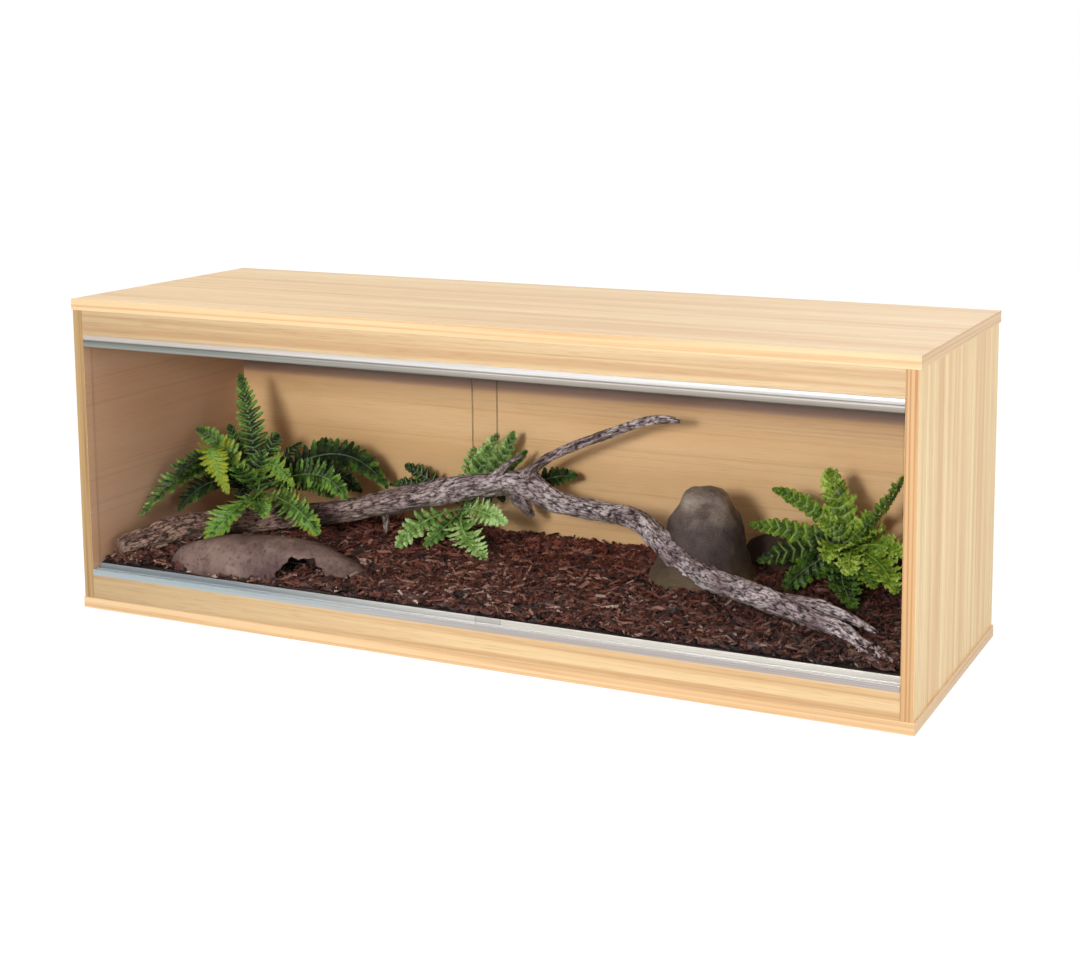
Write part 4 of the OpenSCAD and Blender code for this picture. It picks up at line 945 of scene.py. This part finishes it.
def frond(crown, row, leaf, rng):
    """Points, faces, rib and tone of one frond. The stalk is a quadratic Bezier curve from the
    crown over its crest to the tip. Each leaflet is a folded blade of nine rings of four points
    (left edge, rib, right edge, underside): toothed by scaling every second ring, ruffled by a
    sine along each edge, and drooping with the square of its length. Leaflets stand closer
    towards the tip, and each grows paler from its foot to its point."""
    pairs, teeth, ruffle, slim, fade = leaf
    start = np.array(crown)
    crest, tip = start + np.array(row[0]) / 1000, start + np.array(row[1]) / 1000
    width, turn, lean = row[2] / 1000, math.radians(row[3]), math.radians(row[4])
    wide = np.array([math.cos(turn) * math.cos(lean), math.sin(turn) * math.cos(lean),
                     math.sin(lean)])

    def curve(t):
        t = t[:, None]
        place = (1 - t) ** 2 * start + 2 * t * (1 - t) * crest + t ** 2 * tip
        along = unit((1 - t) * (crest - start) + t * (tip - crest))
        side = unit(wide - (along @ wide)[:, None] * along)
        return place, along, side, np.cross(side, along)

    span = np.linalg.norm(crest - start) * 0.5 + np.linalg.norm(tip - crest) * 0.5 + (
        np.linalg.norm(tip - start) * 0.3)
    pairs = int(np.clip(round(pairs * span / 0.13), 8, 22))
    step = np.linspace(0, 1, pairs)
    t = 0.15 + 0.84 * (1 - (1 - step) ** 1.35)
    place, along, side, out = curve(t)
    hand = np.array([1.0, -1.0])[:, None, None]
    sweep = np.radians(18 + 44 * t ** 3)[None, :, None] * (1 + rng.normal(0, 0.10, (2, pairs, 1)))
    way = unit(hand * side * np.cos(sweep) + along * np.sin(sweep)
               + out * rng.normal(0.12, 0.12, (2, pairs, 1)))
    blade = unit(np.cross(np.broadcast_to(out, way.shape), way))
    upper = np.cross(way, blade)
    length = frond_reach(t, width)[None] * (1 + rng.normal(0, 0.05, (2, pairs)))
    half = np.minimum(slim * span * 1.13 / pairs * (1 - step) ** 0.35 + 0.0008,
                      0.5 * length + 0.0006)
    v = np.linspace(0, 1, LEAF_RINGS)
    shape = np.sqrt(1 - v ** 2.6) * (1.12 - 0.55 * v + 0.42 * v ** 2)
    shape = shape * np.where(np.arange(LEAF_RINGS) % 2 == 1, 1 + teeth, 1 - teeth)
    shape[-1] = 0.06
    phase = rng.uniform(0, 6.3, (2, 2, pairs, 1))
    axis = (place[:, None] + 0 * v[:, None])[None] + (
        way[:, :, None] * (length[:, :, None] * v)[..., None])
    axis = axis - upper[:, :, None] * (0.34 * length[:, :, None] * v ** 2)[..., None]
    flank = blade[:, :, None] * (half[:, :, None] * shape)[..., None]
    wave = ruffle * np.sin(2.5 * np.arange(LEAF_RINGS) + phase) * np.sqrt(v)
    edges = [upper[:, :, None] * (0.42 * half[:, :, None] * shape + wave[k])[..., None]
             for k in (0, 1)]
    crease = upper[:, :, None] * 0.00035
    ring = np.stack([axis - flank + edges[0], axis + crease * (1 - 0.7 * v)[:, None],
                     axis + flank + edges[1], axis - crease], axis=3)
    n, leaf_points = RING_POINTS, LEAF_RINGS * RING_POINTS
    quads = [[s * n + c, s * n + n + c, s * n + n + (c + 1) % n, s * n + (c + 1) % n]
             for s in range(LEAF_RINGS - 1) for c in range(n)]
    quads += [[0, 1, 2, 3], [leaf_points - c for c in (1, 2, 3, 4)]]
    faces = (np.array(quads)[None]
             + leaf_points * np.arange(2 * pairs)[:, None, None]).reshape(-1, 4)
    rib = np.tile([0.0, 1.0, 0.0, 0.6], (2 * pairs, LEAF_RINGS, 1))
    stalk_t = np.linspace(0, 1, STALK_RINGS)
    place, along, side, out = curve(stalk_t)
    turn = 2 * np.pi * np.arange(STALK_SIDES) / STALK_SIDES
    thick = (0.0015 - 0.0011 * stalk_t)[:, None, None]
    stalk = place[:, None] + thick * (np.cos(turn)[None, :, None] * side[:, None]
                                      + np.sin(turn)[None, :, None] * out[:, None])
    stalk_points = np.vstack([stalk.reshape(-1, 3), place[:1], place[-1:]])
    points = np.vstack([ring.reshape(-1, 3), stalk_points])
    all_faces = faces.tolist() + tube_faces(STALK_RINGS, STALK_SIDES,
                                            start=2 * pairs * leaf_points)
    ribs = np.concatenate([rib.ravel(), np.full(len(stalk_points), 0.8)])
    paler = (rng.normal(0, 0.09, (2, pairs, 1, 1)) + 0.18 * (t[:, None, None] - 0.5)
             + fade * (v[:, None] - 0.55) + np.zeros((1, 1, 1, RING_POINTS)))
    tones = np.full(len(points), row[5]) + np.concatenate([
        paler.ravel(), np.zeros(len(stalk_points))])
    return points, all_faces, ribs, tones


def fern(name, node, crown, fronds, leaf, seed, material):
    """A neck of bowed stems from the root up to the crown, and the fronds, as one mesh. The leaf
    is given as pairs of leaflets per 130 mm, share of toothing, ruffle in metres, width of a
    leaflet as a share of its pitch, and how much paler its point is than its foot."""
    rng = np.random.default_rng(seed)
    parts = [frond(crown, row, leaf, rng) for row in fronds]
    stems, sides, sunk = 7, 8, 0.004
    for turn in np.arange(0, 2 * np.pi, 2 * np.pi / stems):
        outwards = np.array([math.cos(turn), math.sin(turn), 0, 0])
        foot = np.array([crown[0], crown[1], BARK_TOP - sunk, 0.0024]) + 0.009 * outwards
        head = np.array([crown[0], crown[1], crown[2] + 0.004, 0.0016]) + 0.002 * outwards
        bow = (foot + head) / 2 + 0.004 * outwards
        path = smooth_path([foot, bow, head], 6)
        ring_turn = -2 * np.pi * np.arange(sides) / sides
        ring = path[:, None, :3] + path[:, None, 3:] * np.stack(
            [np.cos(ring_turn), np.sin(ring_turn), 0 * ring_turn], axis=-1)[None]
        verts = np.vstack([ring.reshape(-1, 3), path[:1, :3], path[-1:, :3]])
        parts.append((verts, tube_faces(len(path), sides), np.full(len(verts), 0.5),
                      np.full(len(verts), 0.3)))
    points, faces, values = joined(parts, "rib", "tone")
    piece = piece_from(name, points, faces, material, "cabinet", values, smooth=False)
    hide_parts(node)


def moulded_leaf(name, tones, rib_colour):
    """Satin leaf plastic: greens by each frond's tone, mottled over 6 mm, and a paler rib."""
    material, tree = empty_material(name)
    place = add(tree, "ShaderNodeTexCoord").outputs["Object"]
    tone = add(tree, "ShaderNodeAttribute", attribute_name="tone").outputs["Fac"]
    rib = add(tree, "ShaderNodeAttribute", attribute_name="rib").outputs["Fac"]
    mottle = add(tree, "ShaderNodeTexNoise", {"Vector": place, "Scale": 170.0, "Detail": 2.0})
    shift = add(tree, "ShaderNodeMapRange", {0: mottle.outputs[0], 1: 0.3, 2: 0.7, 3: -0.16,
                                             4: 0.16})
    level = add(tree, "ShaderNodeMath", {0: tone, 1: shift.outputs[0]}, operation="ADD")
    green = add(tree, "ShaderNodeValToRGB", {0: level.outputs[0]}, stops=tones)
    vein = add(tree, "ShaderNodeMapRange", {0: rib, 1: 0.72, 2: 1.0, 3: 0.0, 4: 0.45})
    colour = add(tree, "ShaderNodeMix", {0: vein.outputs[0], 6: green.outputs[0],
                                         7: rib_colour}, data_type="RGBA")
    leaf = add(tree, "ShaderNodeBsdfPrincipled", {"Base Color": colour.outputs[2],
                                                  "Roughness": 0.45, "Specular IOR Level": 0.3})
    add(tree, "ShaderNodeOutputMaterial", {"Surface": leaf.outputs[0]})
    return material


# Each frond: the point its arch bends towards, its tip, its width, how the line across it turns
# and rises, and its tone. The darkest tones, on fronds in the heart of a plant and behind it,
# are painted shade.
fern("left_plant", "left_fern", (*FERN_SPOTS[0], 0.123), [
    [[-11, 11, 76], [-39, 18, 166], 46, 24, 0, 0.38],
    [[-66, -28, 92], [-106, -128, -16], 52, -50, -35, 0.42],
    [[-56, -17, 86], [-95, -14, 86], 32, 24, 40, 0.48],
    [[-86, -44, 130], [-3, -64, 11], 54, 24, 0, 0.95],
    [[50, -103, 20], [-4, -114, -42], 60, 20, 15, 0.68],
    [[24, -24, 84], [101, -56, 30], 44, 24, 40, 0.72],
    [[112, -8, 69], [165, -24, 12], 46, 60, 60, 0.52],
    [[125, -80, 20], [154, -80, -25], 46, 24, 45, 0.62],
    [[98, 66, 104], [168, 76, 4], 48, 60, 60, 0.25],
    [[33, 34, 59], [44, 44, 66], 26, 24, 30, 0.12],
    [[53, 89, 67], [81, 70, 64], 26, 24, 40, 0.15],
    [[2, 23, 64], [18, 26, 79], 34, 24, 10, 0.26],
    [[-38, 9, 56], [-59, 14, 91], 30, 24, 10, 0.36],
    [[-64, -32, 97], [-66, -112, 23], 40, -50, -30, 0.16],
    [[-52, -18, 38], [-86, -44, -7], 36, -30, -35, 0.10],
    [[61, -94, 22], [79, -92, -5], 40, 24, 0, 0.56],
    [[82, 50, 38], [145, 44, 5], 40, 60, 60, 0.06],
    [[8, -6, 37], [17, -12, 62], 40, 24, 0, 0.34],
    [[-1, -42, 44], [2, -52, 46], 36, 24, 10, 0.44],
    [[-58, -34, 46], [-92, -62, -22], 44, 0, -15, 0.12],
    [[70, 8, 56], [124, 4, 4], 48, 40, 40, 0.20],
    [[16, 26, 34], [30, 34, 44], 40, 24, 20, 0.06],
    [[-20, 6, 26], [-34, -4, -12], 46, 24, -10, 0.05],
    [[86, 34, 62], [150, 32, 10], 40, 60, 50, 0.08],
    [[-34, 24, 40], [-62, 26, 30], 40, 24, 10, 0.07]], (18, 0.10, 0.0009, 0.52, 0.5), 71,
    moulded_leaf("moulded_leaf_deep_green", [
        (0.0, "#081203"), (0.25, "#24390d"), (0.5, "#486923"), (0.74, "#7aa54c"),
        (0.86, "#7d9129"), (1.0, "#97a434")], "#9dc470"))
fern("middle_plant", "middle_fern", (*FERN_SPOTS[1], 0.112), [
    [[16, 18, 56], [47, 16, 108], 38, 24, 15, 0.66],
    [[56, 20, 74], [68, 24, 112], 28, 24, 15, 0.60],
    [[71, 16, 68], [90, 16, 88], 32, 24, 35, 0.55],
    [[2, 14, 42], [7, 20, 85], 32, 24, 0, 0.58],
    [[-73, 28, 36], [-108, 24, 48], 30, 24, 50, 0.22],
    [[-73, 28, 36], [-136, 24, 16], 26, 40, 60, 0.38],
    [[120, 30, 60], [162, 28, 56], 34, 40, 60, 0.28],
    [[-33, -70, 5], [-52, -92, -38], 42, 24, -15, 0.80],
    [[68, -88, 33], [103, -64, 7], 36, 24, 45, 0.88],
    [[14, -62, -2], [-19, -76, -35], 32, 24, -30, 0.60],
    [[21, -66, -12], [87, -92, -37], 50, 24, 15, 0.84],
    [[27, 11, 73], [36, 10, 91], 32, 24, 10, 0.72]], (15, 0.16, 0.0012, 0.54, 0.44), 83,
    moulded_leaf("moulded_leaf_bright_green", [
        (0.0, "#091301"), (0.3, "#22380a"), (0.55, "#466723"), (0.8, "#799d4c"),
        (1.0, "#b2d28a")], "#b2d28a"))
fern("right_plant", "right_fern", (*FERN_SPOTS[2], 0.123), [
    [[-16, -6, 52], [-28, -12, 101], 48, 24, 0, 0.66],
    [[-59, -10, 64], [-100, -20, 70], 26, 24, 50, 0.56],
    [[-62, -22, 25], [-126, -36, 25], 30, 40, 60, 0.50],
    [[49, -5, 68], [71, -22, 104], 24, 24, 35, 0.46],
    [[-49, -29, 10], [-116, -30, -23], 38, 24, 50, 0.14],
    [[-35, -46, -2], [-69, -60, -45], 44, 24, -30, 0.20],
    [[-8, -63, -16], [35, -98, -46], 50, 24, 0, 0.26],
    [[57, -54, 10], [81, -84, -25], 46, 24, 15, 0.64],
    [[43, -4, 18], [82, -56, 13], 40, 24, 45, 0.72],
    [[11, 3, 24], [24, 2, 47], 36, 24, 20, 0.60],
    [[-15, -36, 20], [-15, -56, -3], 42, 24, 0, 0.74],
    [[11, -48, 9], [16, -64, -15], 42, 24, 10, 0.80],
    [[28, -21, 24], [47, -30, 37], 38, 24, 30, 0.66],
    [[-16, -14, 32], [-35, -20, 38], 36, 24, 10, 0.58],
    [[33, -52, -7], [53, -80, -23], 42, 24, 10, 0.48]], (15, 0.18, 0.0027, 0.76, 0.42), 97,
    moulded_leaf("moulded_leaf_yellow_green", [
        (0.0, "#142304"), (0.2, "#2e4814"), (0.36, "#4b6d26"), (0.55, "#5b7812"),
        (0.8, "#8aa63a"), (1.0, "#b2c862")], "#b2c868"))
